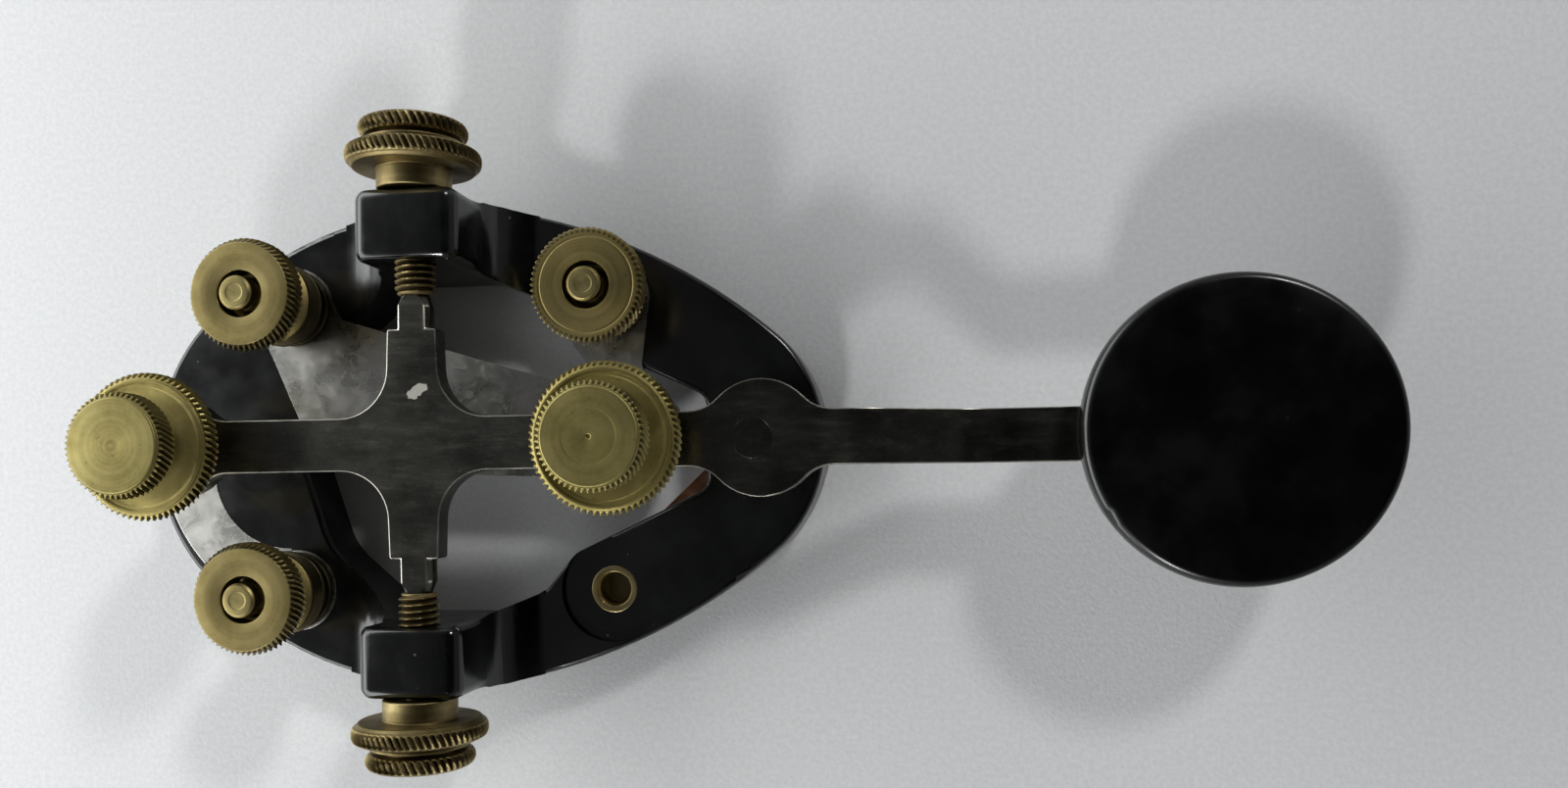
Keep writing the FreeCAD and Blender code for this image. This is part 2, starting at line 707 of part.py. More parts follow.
def make_lock_nut(x):
    """Knurled nut on a hub, with a dished top inside a raised ring."""
    seat = LEVER_TOP_Z + SEAT_GAP
    flange = LEVER_TOP_Z + LOCK_NUT_HUB_HEIGHT
    face = LEVER_TOP_Z + LOCK_NUT_HEIGHT
    bore = COARSE_THREAD_RADIUS + RUNNING_FIT
    return turned([
        (bore, seat),
        (LOCK_NUT_HUB_RADIUS, seat),
        (LOCK_NUT_HUB_RADIUS, flange),
        (LOCK_NUT_RADIUS - 0.4, flange),
        (LOCK_NUT_RADIUS, flange + 0.4),
        (LOCK_NUT_RADIUS, face - 0.5),
        (LOCK_NUT_FACE_RADIUS, face - 0.4),
        (LOCK_NUT_FACE_RADIUS, face),
        (LOCK_NUT_DISH_RADIUS, face),
        (LOCK_NUT_DISH_RADIUS - 0.3, face - 0.3),
        (4.0, face - LOCK_NUT_DISH_DEPTH),
        (bore, face - LOCK_NUT_DISH_DEPTH),
    ], (x, 0.0))


def make_tension_spring():
    """Round-wire compression spring between the strap and the shoulder of the spring screw."""
    foot = STRAP_TOP_Z + SPRING_WIRE_RADIUS
    height = SPRING_SHOULDER_Z - SEAT_GAP - STRAP_TOP_Z - 2 * SPRING_WIRE_RADIUS
    helix = Part.makeHelix(height / SPRING_TURNS, height, SPRING_MEAN_RADIUS)
    start = Vector(SPRING_MEAN_RADIUS, 0, 0)
    section = Part.Wire(Part.makeCircle(SPRING_WIRE_RADIUS, start, Vector(0, 1, 0)))
    solid = Part.Wire(helix.Edges).makePipeShell([section], True, True)
    solid.translate(Vector(SPRING_SCREW_X, 0, foot))
    return solid


# ================================================================ trunnion screws
def make_trunnion_screw(side):
    """Threaded shank with a conical cup in its end for the lever's stub."""
    taper = (STUB_RADIUS - STUB_TIP_RADIUS) / (STUB_TIP_Y - STUB_CONE_Y)
    cup_bottom = STUB_CONE_Y + (STUB_RADIUS + TRUNNION_CUP_CLEARANCE) / taper
    mouth_radius = (cup_bottom - TRUNNION_TIP_Y) * taper
    end = TRUNNION_HEAD_END_Y - 1.2
    return laid_along_y(turned([
        (0, cup_bottom),
        (mouth_radius, TRUNNION_TIP_Y),
        (COARSE_THREAD_RADIUS - 0.5, TRUNNION_TIP_Y),
        (COARSE_THREAD_RADIUS, TRUNNION_TIP_Y + 0.6),
        (COARSE_THREAD_RADIUS, end),
        (0, end),
    ]), side)


def make_trunnion_head(side):
    """Rounded knurled head on a narrow groove and a thin collar."""
    bore = COARSE_THREAD_RADIUS + RUNNING_FIT
    start = TRUNNION_HEAD_Y
    end = TRUNNION_HEAD_END_Y
    groove_radius = 4.6
    return laid_along_y(turned([
        (bore, start),
        (5.9, start),
        (6.0, start + 0.5),
        (groove_radius, start + 0.6),
        (groove_radius, start + 1.0),
        (TRUNNION_HEAD_RADIUS - 0.4, start + 1.1),
        (TRUNNION_HEAD_RADIUS, start + 1.5),
        (TRUNNION_HEAD_RADIUS, end - 0.5),
        (TRUNNION_HEAD_RADIUS - 0.7, end),
        (0, end),
        (0, end - 1.1),
        (bore, end - 1.1),
    ]), side)


def make_trunnion_nut(side):
    """Lock nut: a plain hub against the boss, then a rounded knurled flange."""
    bore = COARSE_THREAD_RADIUS + RUNNING_FIT
    seat = BOSS_OUTER_Y + SEAT_GAP
    return laid_along_y(turned([
        (bore, seat),
        (TRUNNION_HUB_RADIUS, seat),
        (TRUNNION_HUB_RADIUS, TRUNNION_FLANGE_Y),
        (TRUNNION_FLANGE_FACE_RADIUS, TRUNNION_FLANGE_Y),
        (TRUNNION_FLANGE_RADIUS, TRUNNION_FLANGE_Y + 0.8),
        (TRUNNION_FLANGE_RADIUS, TRUNNION_FLANGE_END_Y - 0.8),
        (TRUNNION_FLANGE_FACE_RADIUS, TRUNNION_FLANGE_END_Y),
        (bore, TRUNNION_FLANGE_END_Y),
    ]), side)


# ================================================================ whole key
def write_frame_parts(tip_z):
    """Frame, straps, rivets, bare insert and the fixed contact."""
    stud_hole = POST_THREAD_RADIUS + 0.15
    write_part("base_frame", make_base_frame())
    write_part("common_strap", make_upper_strap(common_strap_faces(), [
        (POSTS["rear_left"], stud_hole),
        (POSTS["front_left"], stud_hole),
        ((SPRING_SCREW_X, 0.0), RIVET_SHANK_RADIUS),
    ]))
    write_part("rear_contact_strap", make_upper_strap(rear_strap_faces(), [
        (POSTS["rear_right"], stud_hole),
        ((GAP_SCREW_X, 0.0), RIVET_SHANK_RADIUS),
    ]))
    write_part("front_contact_strap", make_lower_strap())
    write_part("spring_seat", make_strap_rivet(SPRING_SCREW_X, SPRING_DOG_RADIUS, SPRING_SEAT_HEIGHT))
    write_part("rear_anvil", make_strap_rivet(GAP_SCREW_X, ANVIL_RADIUS, ANVIL_HEIGHT))
    write_part("fixed_contact", make_fixed_contact(tip_z))
    write_part("insert_front_right", make_insert(BARE_INSERT, LOWER_STRAP_TOP_Z, INSERT_THREAD_RADIUS))


def write_post(name, place):
    """Terminal post: insert, stud, collar, washer and thumb nut, one above the other."""
    bore = POST_THREAD_RADIUS + THREAD_SEAT
    nut_top = REAR_NUT_TOP_Z if name.startswith("rear") else FRONT_NUT_TOP_Z
    collar_top = STRAP_TOP_Z + COLLAR_HEIGHT
    washer_top = collar_top + WASHER_THICKNESS
    write_part("insert_" + name, make_insert(place, INSERT_FLOOR_Z, bore))
    write_part("stud_" + name, make_stud(place, nut_top + STUD_OVER_NUT))
    write_part("post_collar_" + name, plain_ring(place, bore, COLLAR_RADIUS, STRAP_TOP_Z, collar_top, 0.25))
    write_part("washer_" + name, plain_ring(place, bore, WASHER_RADIUS, collar_top, washer_top, 0.1))
    write_part("thumb_nut_" + name, make_thumb_nut(place, nut_top))


def write_lever_parts(tip_z):
    """Lever, its contact rivet and the knob with its fixings."""
    washer_top = FRONT_CENTRE_Z - LEVER_THICKNESS / 2
    washer_low = washer_top - KNOB_WASHER_THICKNESS
    write_part("lever", make_lever())
    write_part("lever_contact", make_lever_contact(tip_z))
    write_part("knob", make_knob())
    write_part("knob_insert", make_knob_insert())
    write_part("knob_screw", make_knob_screw(washer_low))
    write_part("knob_washer", plain_ring((KNOB_X, 0.0), POST_THREAD_RADIUS, 3.9, washer_low, washer_top, 0.1))


def write_adjusters():
    """Gap screw at the tail and spring screw ahead of the pivot, each with its cap and lock nut."""
    gap_tip_z = STRAP_TOP_Z + ANVIL_HEIGHT + SEAT_GAP
    dog_tip_z = SPRING_SHOULDER_Z - SPRING_DOG_LENGTH
    write_part("tension_spring", make_tension_spring())
    write_part("gap_screw", make_screw_shank(
        GAP_SCREW_X, gap_tip_z, GAP_SCREW_POINT_RADIUS, GAP_SCREW_POINT_LENGTH))
    write_part("spring_screw", make_screw_shank(
        SPRING_SCREW_X, dog_tip_z, SPRING_DOG_RADIUS, SPRING_DOG_LENGTH))
    for name, x, face in (("gap", GAP_SCREW_X, GAP_CAP_FACE), ("spring", SPRING_SCREW_X, SPRING_CAP_FACE)):
        write_part(name + "_screw_cap", make_screw_cap(x, face))
        write_part(name + "_lock_nut", make_lock_nut(x))


def write_trunnions():
    for name, side in (("left", 1), ("right", -1)):
        write_part("trunnion_screw_" + name, make_trunnion_screw(side))
        write_part("trunnion_head_" + name, make_trunnion_head(side))
        write_part("trunnion_nut_" + name, make_trunnion_nut(side))


def main():
    os.makedirs("parts", exist_ok=True)
    lever_tip_z = LEVER_BOTTOM_Z - LEVER_CONTACT_DROP
    write_frame_parts(lever_tip_z - CONTACT_GAP)
    for name, place in POSTS.items():
        write_post(name, place)
    write_lever_parts(lever_tip_z)
    write_adjusters()
    write_trunnions()


main()
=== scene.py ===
"""Looks for the straight telegraph key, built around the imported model.

Profiles and sketches are in millimetres in the pivot frame, like the solids: X towards the knob,
Z up from the surface, and X = 0 below the lever's pivot.  place() turns them into the row frame.
"""
import json
import math
import random

import bmesh
import bpy
from mathutils import Matrix, Vector


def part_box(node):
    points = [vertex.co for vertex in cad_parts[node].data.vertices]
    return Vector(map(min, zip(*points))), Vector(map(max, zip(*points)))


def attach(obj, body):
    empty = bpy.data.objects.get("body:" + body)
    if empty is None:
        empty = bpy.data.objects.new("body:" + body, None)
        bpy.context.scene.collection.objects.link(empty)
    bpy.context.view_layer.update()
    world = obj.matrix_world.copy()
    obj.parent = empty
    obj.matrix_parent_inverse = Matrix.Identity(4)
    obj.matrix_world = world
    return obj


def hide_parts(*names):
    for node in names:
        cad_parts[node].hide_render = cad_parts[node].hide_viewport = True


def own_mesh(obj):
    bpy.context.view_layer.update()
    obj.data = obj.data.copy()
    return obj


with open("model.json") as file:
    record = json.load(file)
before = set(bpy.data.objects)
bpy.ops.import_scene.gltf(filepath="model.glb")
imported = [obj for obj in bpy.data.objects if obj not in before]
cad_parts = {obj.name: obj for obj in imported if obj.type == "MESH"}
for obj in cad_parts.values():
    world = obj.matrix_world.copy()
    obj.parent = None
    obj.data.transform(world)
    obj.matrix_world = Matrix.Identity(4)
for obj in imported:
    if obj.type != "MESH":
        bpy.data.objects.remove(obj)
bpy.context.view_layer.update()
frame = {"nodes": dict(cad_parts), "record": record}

MM = 0.001
TAU = 2 * math.pi
BODY_OF = {node: body for body, nodes in frame["record"]["behaviour"]["bodies"].items() for node in nodes}


def middle(node):
    low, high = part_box(node)
    return (low + high) / 2


PIVOT_X = middle("trunnion_screw_left").x
PIVOT_Z = middle("trunnion_screw_left").z
THREAD_PITCH = 0.79375
ON_AXIS = 1e-6           # a radius below this, in millimetres, is a point on the axis

CAMERA_PLACE = (60.92, -5.27, 148.69)
CAMERA_TURN = (("Z", -0.0137546), ("Y", 0.1237906), ("X", 0.0031963))
CAMERA_LENS = 26.31
CAMERA_SHIFT = 0.0531

# Room brightness: stops from the tail side to the knob side, then from the horizon up.
ROOM_ACROSS = [(0.0, (0.62, 0.64, 0.66)), (0.55, (0.34, 0.34, 0.34)), (1.0, (0.17, 0.17, 0.175))]
ROOM_UPWARD = [(0.0, (1, 1, 1)), (0.4, (0.8, 0.8, 0.8)), (0.66, (0.05, 0.05, 0.05)), (0.96, (0.004, 0.004, 0.004))]
ROOM_TAIL_GLOW = [(0.0, (0.10, 0.10, 0.105)), (0.36, (0.09, 0.09, 0.095)), (0.475, (0.0, 0.0, 0.0))]

FLOOR_HALF = 1.5
SUN_ANGLE = 8.0


def place(x, y, z):
    return Vector((PIVOT_X + x * MM, y * MM, z * MM))


# ================================================================ camera, light and floor
def make_camera():
    """The photograph's viewpoint: close above the key, leaning a little towards its tail."""
    data = bpy.data.cameras.new("camera")
    camera = bpy.data.objects.new("camera", data)
    bpy.context.scene.collection.objects.link(camera)
    data.lens = CAMERA_LENS
    data.sensor_width = 36.0
    data.shift_y = CAMERA_SHIFT
    data.clip_start = 0.005
    camera.location = place(*CAMERA_PLACE)
    turn = Matrix.Identity(4)
    for axis, angle in CAMERA_TURN:
        turn = turn @ Matrix.Rotation(angle, 4, axis)
    camera.rotation_euler = turn.to_euler()
    bpy.context.scene.camera = camera


def area_light(name, direction, distance, width, height, power, colour):
    """Soft light panel in a direction from the middle of the key, turned to face it."""
    data = bpy.data.lights.new(name, "AREA")
    data.shape = "RECTANGLE"
    data.size = width
    data.size_y = height
    data.energy = power
    data.color = colour
    lamp = bpy.data.objects.new(name, data)
    bpy.context.scene.collection.objects.link(lamp)
    away = Vector(direction).normalized()
    lamp.location = place(20, 0, 10) + away * distance
    lamp.rotation_euler = (-away).to_track_quat("-Z", "Y").to_euler()
    lamp.visible_camera = False


def sun(name, direction, strength):
    """Even light over the whole floor from one direction, soft enough for a blurred shadow."""
    data = bpy.data.lights.new(name, "SUN")
    data.energy = strength
    data.angle = math.radians(SUN_ANGLE)
    lamp = bpy.data.objects.new(name, data)
    bpy.context.scene.collection.objects.link(lamp)
    lamp.rotation_euler = (-Vector(direction)).to_track_quat("-Z", "Y").to_euler()


def make_world():
    """Pale room: bright low down and towards the tail, dark overhead and beyond the knob."""
    world = bpy.data.worlds.new("room")
    bpy.context.scene.world = world
    world.use_nodes = True
    nodes = world.node_tree.nodes
    links = world.node_tree.links
    nodes.clear()
    coordinate = nodes.new("ShaderNodeTexCoord")
    split = nodes.new("ShaderNodeSeparateXYZ")
    links.new(coordinate.outputs["Generated"], split.inputs[0])

    def faded(source, stops):
        fade = nodes.new("ShaderNodeValToRGB")
        fade.color_ramp.interpolation = "EASE"
        while len(fade.color_ramp.elements) < len(stops):
            fade.color_ramp.elements.new(0.5)
        for element, (position, colour) in zip(fade.color_ramp.elements, stops):
            element.position = position
            element.color = (*colour, 1)
        links.new(source, fade.inputs[0])
        return fade.outputs[0]

    def blended(kind, first, second):
        blend = nodes.new("ShaderNodeMix")
        blend.data_type = "RGBA"
        blend.blend_type = kind
        blend.inputs[0].default_value = 1.0
        links.new(first, blend.inputs[6])
        links.new(second, blend.inputs[7])
        return blend.outputs[2]

    halved = nodes.new("ShaderNodeMath")
    halved.operation = "MULTIPLY_ADD"
    halved.inputs[1].default_value = 0.5
    halved.inputs[2].default_value = 0.5
    links.new(split.outputs["X"], halved.inputs[0])
    across = faded(halved.outputs[0], ROOM_ACROSS)
    upward = faded(split.outputs["Z"], ROOM_UPWARD)
    glow = faded(halved.outputs[0], ROOM_TAIL_GLOW)
    room = blended("ADD", blended("MULTIPLY", across, upward), glow)
    background = nodes.new("ShaderNodeBackground")
    background.inputs["Strength"].default_value = 1.0
    links.new(room, background.inputs["Color"])
    output = nodes.new("ShaderNodeOutputWorld")
    links.new(background.outputs[0], output.inputs["Surface"])


def make_floor():
    """Matt pale paper, faintly mottled."""
    mesh = bpy.data.meshes.new("floor")
    corners = [(-FLOOR_HALF, -FLOOR_HALF, 0), (FLOOR_HALF, -FLOOR_HALF, 0),
               (FLOOR_HALF, FLOOR_HALF, 0), (-FLOOR_HALF, FLOOR_HALF, 0)]
    mesh.from_pydata(corners, [], [(0, 1, 2, 3)])
    floor = bpy.data.objects.new("floor", mesh)
    bpy.context.scene.collection.objects.link(floor)
    paint = Paint("floor_paper")
    paint.set(roughness=0.9, specular=0.2)
    paint.colour(paint.mix(paint.ramp(paint.noise(1500, 5), 0.3, 0.7), (0.685, 0.69, 0.695), (0.745, 0.75, 0.755)))
    paint.bump(paint.noise(2200), 0.5, 0.07)
    mesh.materials.append(paint.material)


# ================================================================ materials
class Paint:
    """One procedural material on a Principled shader; heights are in millimetres."""

    def __init__(self, name):
        self.material = bpy.data.materials.new(name)
        self.material.use_nodes = True
        tree = self.material.node_tree
        self.nodes = tree.nodes
        self.links = tree.links
        self.shader = self.nodes["Principled BSDF"]
        self.object_coordinate = self.add("ShaderNodeTexCoord").outputs["Object"]
        self.normal = None

    def add(self, kind, **settings):
        node = self.nodes.new(kind)
        for key, value in settings.items():
            setattr(node, key, value)
        return node

    def link(self, source, target):
        self.links.new(source, target)

    def feed(self, target, value):
        """Give an input either another node's output or a plain value."""
        if isinstance(value, bpy.types.NodeSocket):
            self.link(value, target)
        elif isinstance(value, tuple) and len(value) == 3 and len(target.default_value) == 4:
            target.default_value = (*value, 1.0)
        else:
            target.default_value = value

    def set(self, metallic=None, roughness=None, specular=None, anisotropy=None, ior=None):
        for key, value in (("Metallic", metallic), ("Roughness", roughness), ("Specular IOR Level", specular),
                           ("Anisotropic", anisotropy), ("IOR", ior)):
            if value is not None:
                self.shader.inputs[key].default_value = value

    def maths(self, operation, first, second=0.0, clamp=False):
        node = self.add("ShaderNodeMath", operation=operation, use_clamp=clamp)
        self.feed(node.inputs[0], first)
        self.feed(node.inputs[1], second)
        return node.outputs[0]

    def mapped(self, source=None, kind="POINT", **values):
        """Object coordinates, or another vector, moved, turned or scaled."""
        node = self.add("ShaderNodeMapping", vector_type=kind)
        for key, value in values.items():
            node.inputs[key].default_value = value
        self.link(source or self.object_coordinate, node.inputs["Vector"])
        return node.outputs[0]

    def noise(self, scale, detail=3.0, stretch=None, rough=0.5, vector=None, distortion=0.0):
        node = self.add("ShaderNodeTexNoise")
        node.inputs["Scale"].default_value = scale
        node.inputs["Detail"].default_value = detail
        node.inputs["Roughness"].default_value = rough
        node.inputs["Distortion"].default_value = distortion
        source = vector or (self.mapped(Scale=stretch) if stretch else self.object_coordinate)
        self.link(source, node.inputs["Vector"])
        return node.outputs["Fac"]

    def ramp(self, value, low, high, invert=False):
        """Value stretched so that low becomes 0 and high becomes 1."""
        node = self.add("ShaderNodeMapRange", interpolation_type="SMOOTHSTEP")
        self.feed(node.inputs["Value"], value)
        node.inputs["From Min"].default_value = low
        node.inputs["From Max"].default_value = high
        node.inputs["To Min"].default_value = 1.0 if invert else 0.0
        node.inputs["To Max"].default_value = 0.0 if invert else 1.0
        return node.outputs[0]

    def between(self, value, low, high):
        node = self.add("ShaderNodeMapRange")
        self.feed(node.inputs["Value"], value)
        node.inputs["To Min"].default_value = low
        node.inputs["To Max"].default_value = high
        return node.outputs[0]

    def mix(self, share, first, second):
        node = self.add("ShaderNodeMix", data_type="RGBA")
        self.feed(node.inputs["Factor"], share)
        self.feed(node.inputs[6], first)
        self.feed(node.inputs[7], second)
        return node.outputs[2]

    def over(self, base, mask, share, colour):
        """A colour laid over the base where the mask is 1, at the given strength."""
        return self.mix(self.maths("MULTIPLY", mask, share), base, colour)

    def attribute(self, name):
        node = self.add("ShaderNodeAttribute", attribute_name=name)
        return node.outputs["Fac"]

    def colour(self, value):
        self.feed(self.shader.inputs["Base Color"], value)

    def bump(self, height, strength, distance):
        """Adds one layer of relief; distance is the height of a full step, in millimetres."""
        node = self.add("ShaderNodeBump")
        node.inputs["Strength"].default_value = strength
        node.inputs["Distance"].default_value = distance * MM
        self.feed(node.inputs["Height"], height)
        if self.normal is not None:
            self.link(self.normal, node.inputs["Normal"])
        self.normal = node.outputs[0]
        self.link(self.normal, self.shader.inputs["Normal"])


# ================================================================ mesh building
CORNER_STEPS = 3         # points round each softened corner
KNURL_STEP = 0.22        # longest step along a knurled run
THREAD_STEPS = 9         # steps along each turn of a thread
THREAD_RUN_OUT = 0.3
SHARP_EDGE_ANGLE = 28.0
FLAT_FACE_ANGLE = 0.25


def mesh_object(name, bm, paint, sharp_angle=38.0):
    """Finished mesh object from a bmesh drawn in millimetres."""
    bmesh.ops.recalc_face_normals(bm, faces=bm.faces)
    bmesh.ops.scale(bm, vec=(MM, MM, MM), verts=bm.verts)
    mesh = bpy.data.meshes.new(name)
    bm.to_mesh(mesh)
    bm.free()
    mesh.shade_smooth()
    mesh.set_sharp_from_angle(angle=math.radians(sharp_angle))
    mesh.materials.append(paint.material)
    thing = bpy.data.objects.new(name, mesh)
    bpy.context.scene.collection.objects.link(thing)
    return thing


def stand_for(thing, node):
    """The piece takes the CAD node's place: it joins the node's body and the node is hidden."""
    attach(thing, BODY_OF[node])
    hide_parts(node)
    return thing


def softened(profile, radius):
    """The same (radius, height) profile with its corners rounded."""
    out = [profile[0]]
    for before, here, after in zip(profile, profile[1:], profile[2:]):
        if here[0] < ON_AXIS:
            out.append(here)
            continue
        here = Vector(here)
        back = Vector(before) - here
        ahead = Vector(after) - here
        reach = min(radius, 0.4 * back.length, 0.4 * ahead.length)
        start = here + back.normalized() * reach
        end = here + ahead.normalized() * reach
        for step in range(CORNER_STEPS + 1):
            t = step / CORNER_STEPS
            out.append(tuple(start * (1 - t) ** 2 + here * 2 * t * (1 - t) + end * t ** 2))
    out.append(profile[-1])
    return out


def divided(profile, longest, low, high):
    """The profile with its runs between two heights cut into short steps."""
    out = [profile[0]]
    for start, end in zip(profile, profile[1:]):
        start = Vector(start)
        end = Vector(end)
        inside = max(start.y, end.y) > low and min(start.y, end.y) < high
        count = max(1, math.ceil((end - start).length / longest)) if inside else 1
        out += [tuple(start.lerp(end, step / count)) for step in range(1, count + 1)]
    return out


class Plain:
    """Smooth turned surface."""
    phases = [index / 96 for index in range(96)]

    def cut(self, radius, height, phase, column):
        return radius, phase * TAU, 0.0


class Knurl:
    """Slanted teeth in a band, cut to an even depth below its outer radius or rolled into a round rim."""
    TOOTH = ((0.0, 0.0), (0.1, 0.18), (0.28, 0.8), (0.5, 1.0), (0.72, 0.8), (0.9, 0.18))

    def __init__(self, radius, low, high, teeth, depth, slant, rolled=False, wear=0.0, seed=0):
        self.radius = radius
        self.low = low
        self.high = high
        self.teeth = teeth
        self.depth = depth
        self.twist = math.tan(math.radians(slant)) / radius
        self.rolled = rolled
        self.phases = [(tooth + share) / teeth for tooth in range(teeth) for share, _ in self.TOOTH]
        self.fall = [fall for tooth in range(teeth) for _, fall in self.TOOTH]
        dice = random.Random(seed)
        self.uneven = [1.0 - wear * dice.random() for tooth in range(teeth) for _ in self.TOOTH]

    def cut(self, radius, height, phase, column):
        held = min(max(height, self.low), self.high)
        angle = phase * TAU + self.twist * (held - self.low)
        if not self.low < height < self.high:
            return radius, angle, 0.0
        fall = self.fall[column] * self.uneven[column]
        if self.rolled:
            share = (height - self.low) / (self.high - self.low)
            fall *= min(1.0, 5.0 * share, 5.0 * (1.0 - share))
            return radius - self.depth * fall, angle, fall
        # How deep the point lies in a tooth gap; the materials darken it as dirt and painted shade
        dirt_and_shade = fall if radius > self.radius - self.depth - 0.1 else 0.0
        return min(radius, self.radius - self.depth * fall), angle, dirt_and_shade


class Thread:
    """Right-handed thread cut into a plain bar between two heights."""
    phases = [index / 40 for index in range(40)]

    def __init__(self, low, high, depth):
        self.low = low
        self.high = high
        self.depth = depth

    def cut(self, radius, height, phase, column):
        turn = (height / THREAD_PITCH - phase) % 1.0
        fall = (0.5 - 0.5 * math.cos(TAU * turn)) ** 0.8
        fall *= max(0.0, min(1.0, (height - self.low) / THREAD_RUN_OUT, (self.high - height) / THREAD_RUN_OUT))
        # The root depth is handed on too, for dirt and painted shade in the thread's root
        return radius - self.depth * fall, phase * TAU, fall


def turned_mesh(profile, surface, closed):
    """Turned bmesh about Z from (radius, height) points; closed joins the last point to the first."""
    bm = bmesh.new()
    groove_dirt_and_shade = bm.verts.layers.float.new("groove_dirt_and_shade")
    rings = []
    for radius, height in profile:
        if radius < ON_AXIS:
            rings.append([bm.verts.new((0, 0, height))])
            continue
        ring = []
        for column, phase in enumerate(surface.phases):
            reach, angle, dirt_and_shade = surface.cut(radius, height, phase, column)
            vert = bm.verts.new((reach * math.cos(angle), reach * math.sin(angle), height))
            # The layer holds groove depth, which the materials show as dirt and painted shade
            vert[groove_dirt_and_shade] = dirt_and_shade
            ring.append(vert)
        rings.append(ring)
    pairs = list(zip(rings, rings[1:]))
    if closed:
        pairs.append((rings[-1], rings[0]))
    for lower, upper in pairs:
        count = max(len(lower), len(upper))
        for index in range(count if count > 1 else 0):
            following = (index + 1) % count
            if len(lower) == 1:
                corners = (lower[0], upper[index], upper[following])
            elif len(upper) == 1:
                corners = (lower[index], lower[following], upper[0])
            else:
                corners = (lower[index], lower[following], upper[following], upper[index])
            bm.faces.new(corners)
    return bm


def shaped(profile, surface, round_off):
    profile = softened(profile, round_off)
    if isinstance(surface, Knurl):
        return divided(profile, KNURL_STEP, surface.low, surface.high)
    if isinstance(surface, Thread):
        return divided(profile, THREAD_PITCH / THREAD_STEPS, surface.low, surface.high)
    return profile


def turned_object(name, profile, paint, surface, round_off, closed):
    """Turned piece about its own Z; a profile clear of the axis at both ends is closed into a ring."""
    surface = surface or Plain()
    if closed is None:
        closed = profile[0][0] > ON_AXIS and profile[-1][0] > ON_AXIS
    return mesh_object(name, turned_mesh(shaped(profile, surface, round_off), surface, closed), paint)


def upright(node, name, profile, paint, surface=None, round_off=0.12, closed=None):
    """Turned piece on a vertical axis through the CAD node's middle; heights are from the floor."""
    thing = turned_object(name, profile, paint, surface, round_off, closed)
    centre = middle(node)
    thing.location = (centre.x, centre.y, 0.0)
    return stand_for(thing, node)


def sideways(node, name, profile, paint, side, surface, round_off):
    """Turned piece on the pivot axis; heights are distances along Y from the middle of the key."""
    thing = turned_object(name, profile, paint, surface, round_off, None)
    thing.location = (PIVOT_X, 0.0, PIVOT_Z)
    thing.rotation_euler = (math.radians(-90 * side), 0.0, 0.0)
    return stand_for(thing, node)


def cad_sketch(node):
    """The CAD node's shape with its flat faces whole again, in millimetres in the row frame."""
    bm = bmesh.new()
    bm.from_mesh(frame["nodes"][node].data)
    bmesh.ops.remove_doubles(bm, verts=bm.verts, dist=1e-6)
    bmesh.ops.dissolve_limit(bm, angle_limit=math.radians(FLAT_FACE_ANGLE), verts=bm.verts, edges=bm.edges)
    bmesh.ops.scale(bm, vec=(1 / MM, 1 / MM, 1 / MM), verts=bm.verts)
    return bm


def sharp_edges(bm):
    limit = math.radians(SHARP_EDGE_ANGLE)
    return [edge for edge in bm.edges if len(edge.link_faces) == 2 and edge.calc_face_angle(0.0) > limit]


def worn_copy(node, name, paint, width, pick=None, segments=2, more=(), first=None, clamp=True):
    """The CAD node's shape with its sharp edges worn round; the worn band is marked for the material.

    Each pass bevels the sharp edges that its test picks; first reshapes the mesh before that.
    """
    bm = cad_sketch(node)
    if first:
        first(bm)
    worn = bm.loops.layers.float.new("worn")
    bm.verts.layers.float.new("groove_dirt_and_shade")
    for amount, test in [(width, pick), *more]:
        edges = [edge for edge in sharp_edges(bm) if test is None or test(edge)]
        made = bmesh.ops.bevel(bm, geom=edges, offset=amount, segments=segments, profile=0.5, affect="EDGES",
                               clamp_overlap=clamp, loop_slide=True)
        for face in made["faces"]:
            for loop in face.loops:
                loop[worn] = 1.0
    thing = mesh_object(name, bm, paint, 32.0)
    thing.modifiers.new("flats", "WEIGHTED_NORMAL").keep_sharp = True
    return stand_for(thing, node)


# ================================================================ finishes
# Dirt colour, also laid into groove hollows as painted shade
DIRT_AND_SHADE = (0.03, 0.02, 0.007)
RING_SCALE = 4200.0
RING_RELIEF = 0.011


def turned_rings(paint):
    """Distance from the piece's own axis and height along it, in metres, for turning marks."""
    split = paint.add("ShaderNodeSeparateXYZ")
    paint.link(paint.object_coordinate, split.inputs[0])
    square = paint.maths("ADD", paint.maths("MULTIPLY", split.outputs[0], split.outputs[0]),
                         paint.maths("MULTIPLY", split.outputs[1], split.outputs[1]))
    joined = paint.add("ShaderNodeCombineXYZ")
    paint.link(paint.maths("SQRT", square), joined.inputs[0])
    paint.link(split.outputs[2], joined.inputs[1])
    return joined.outputs[0]


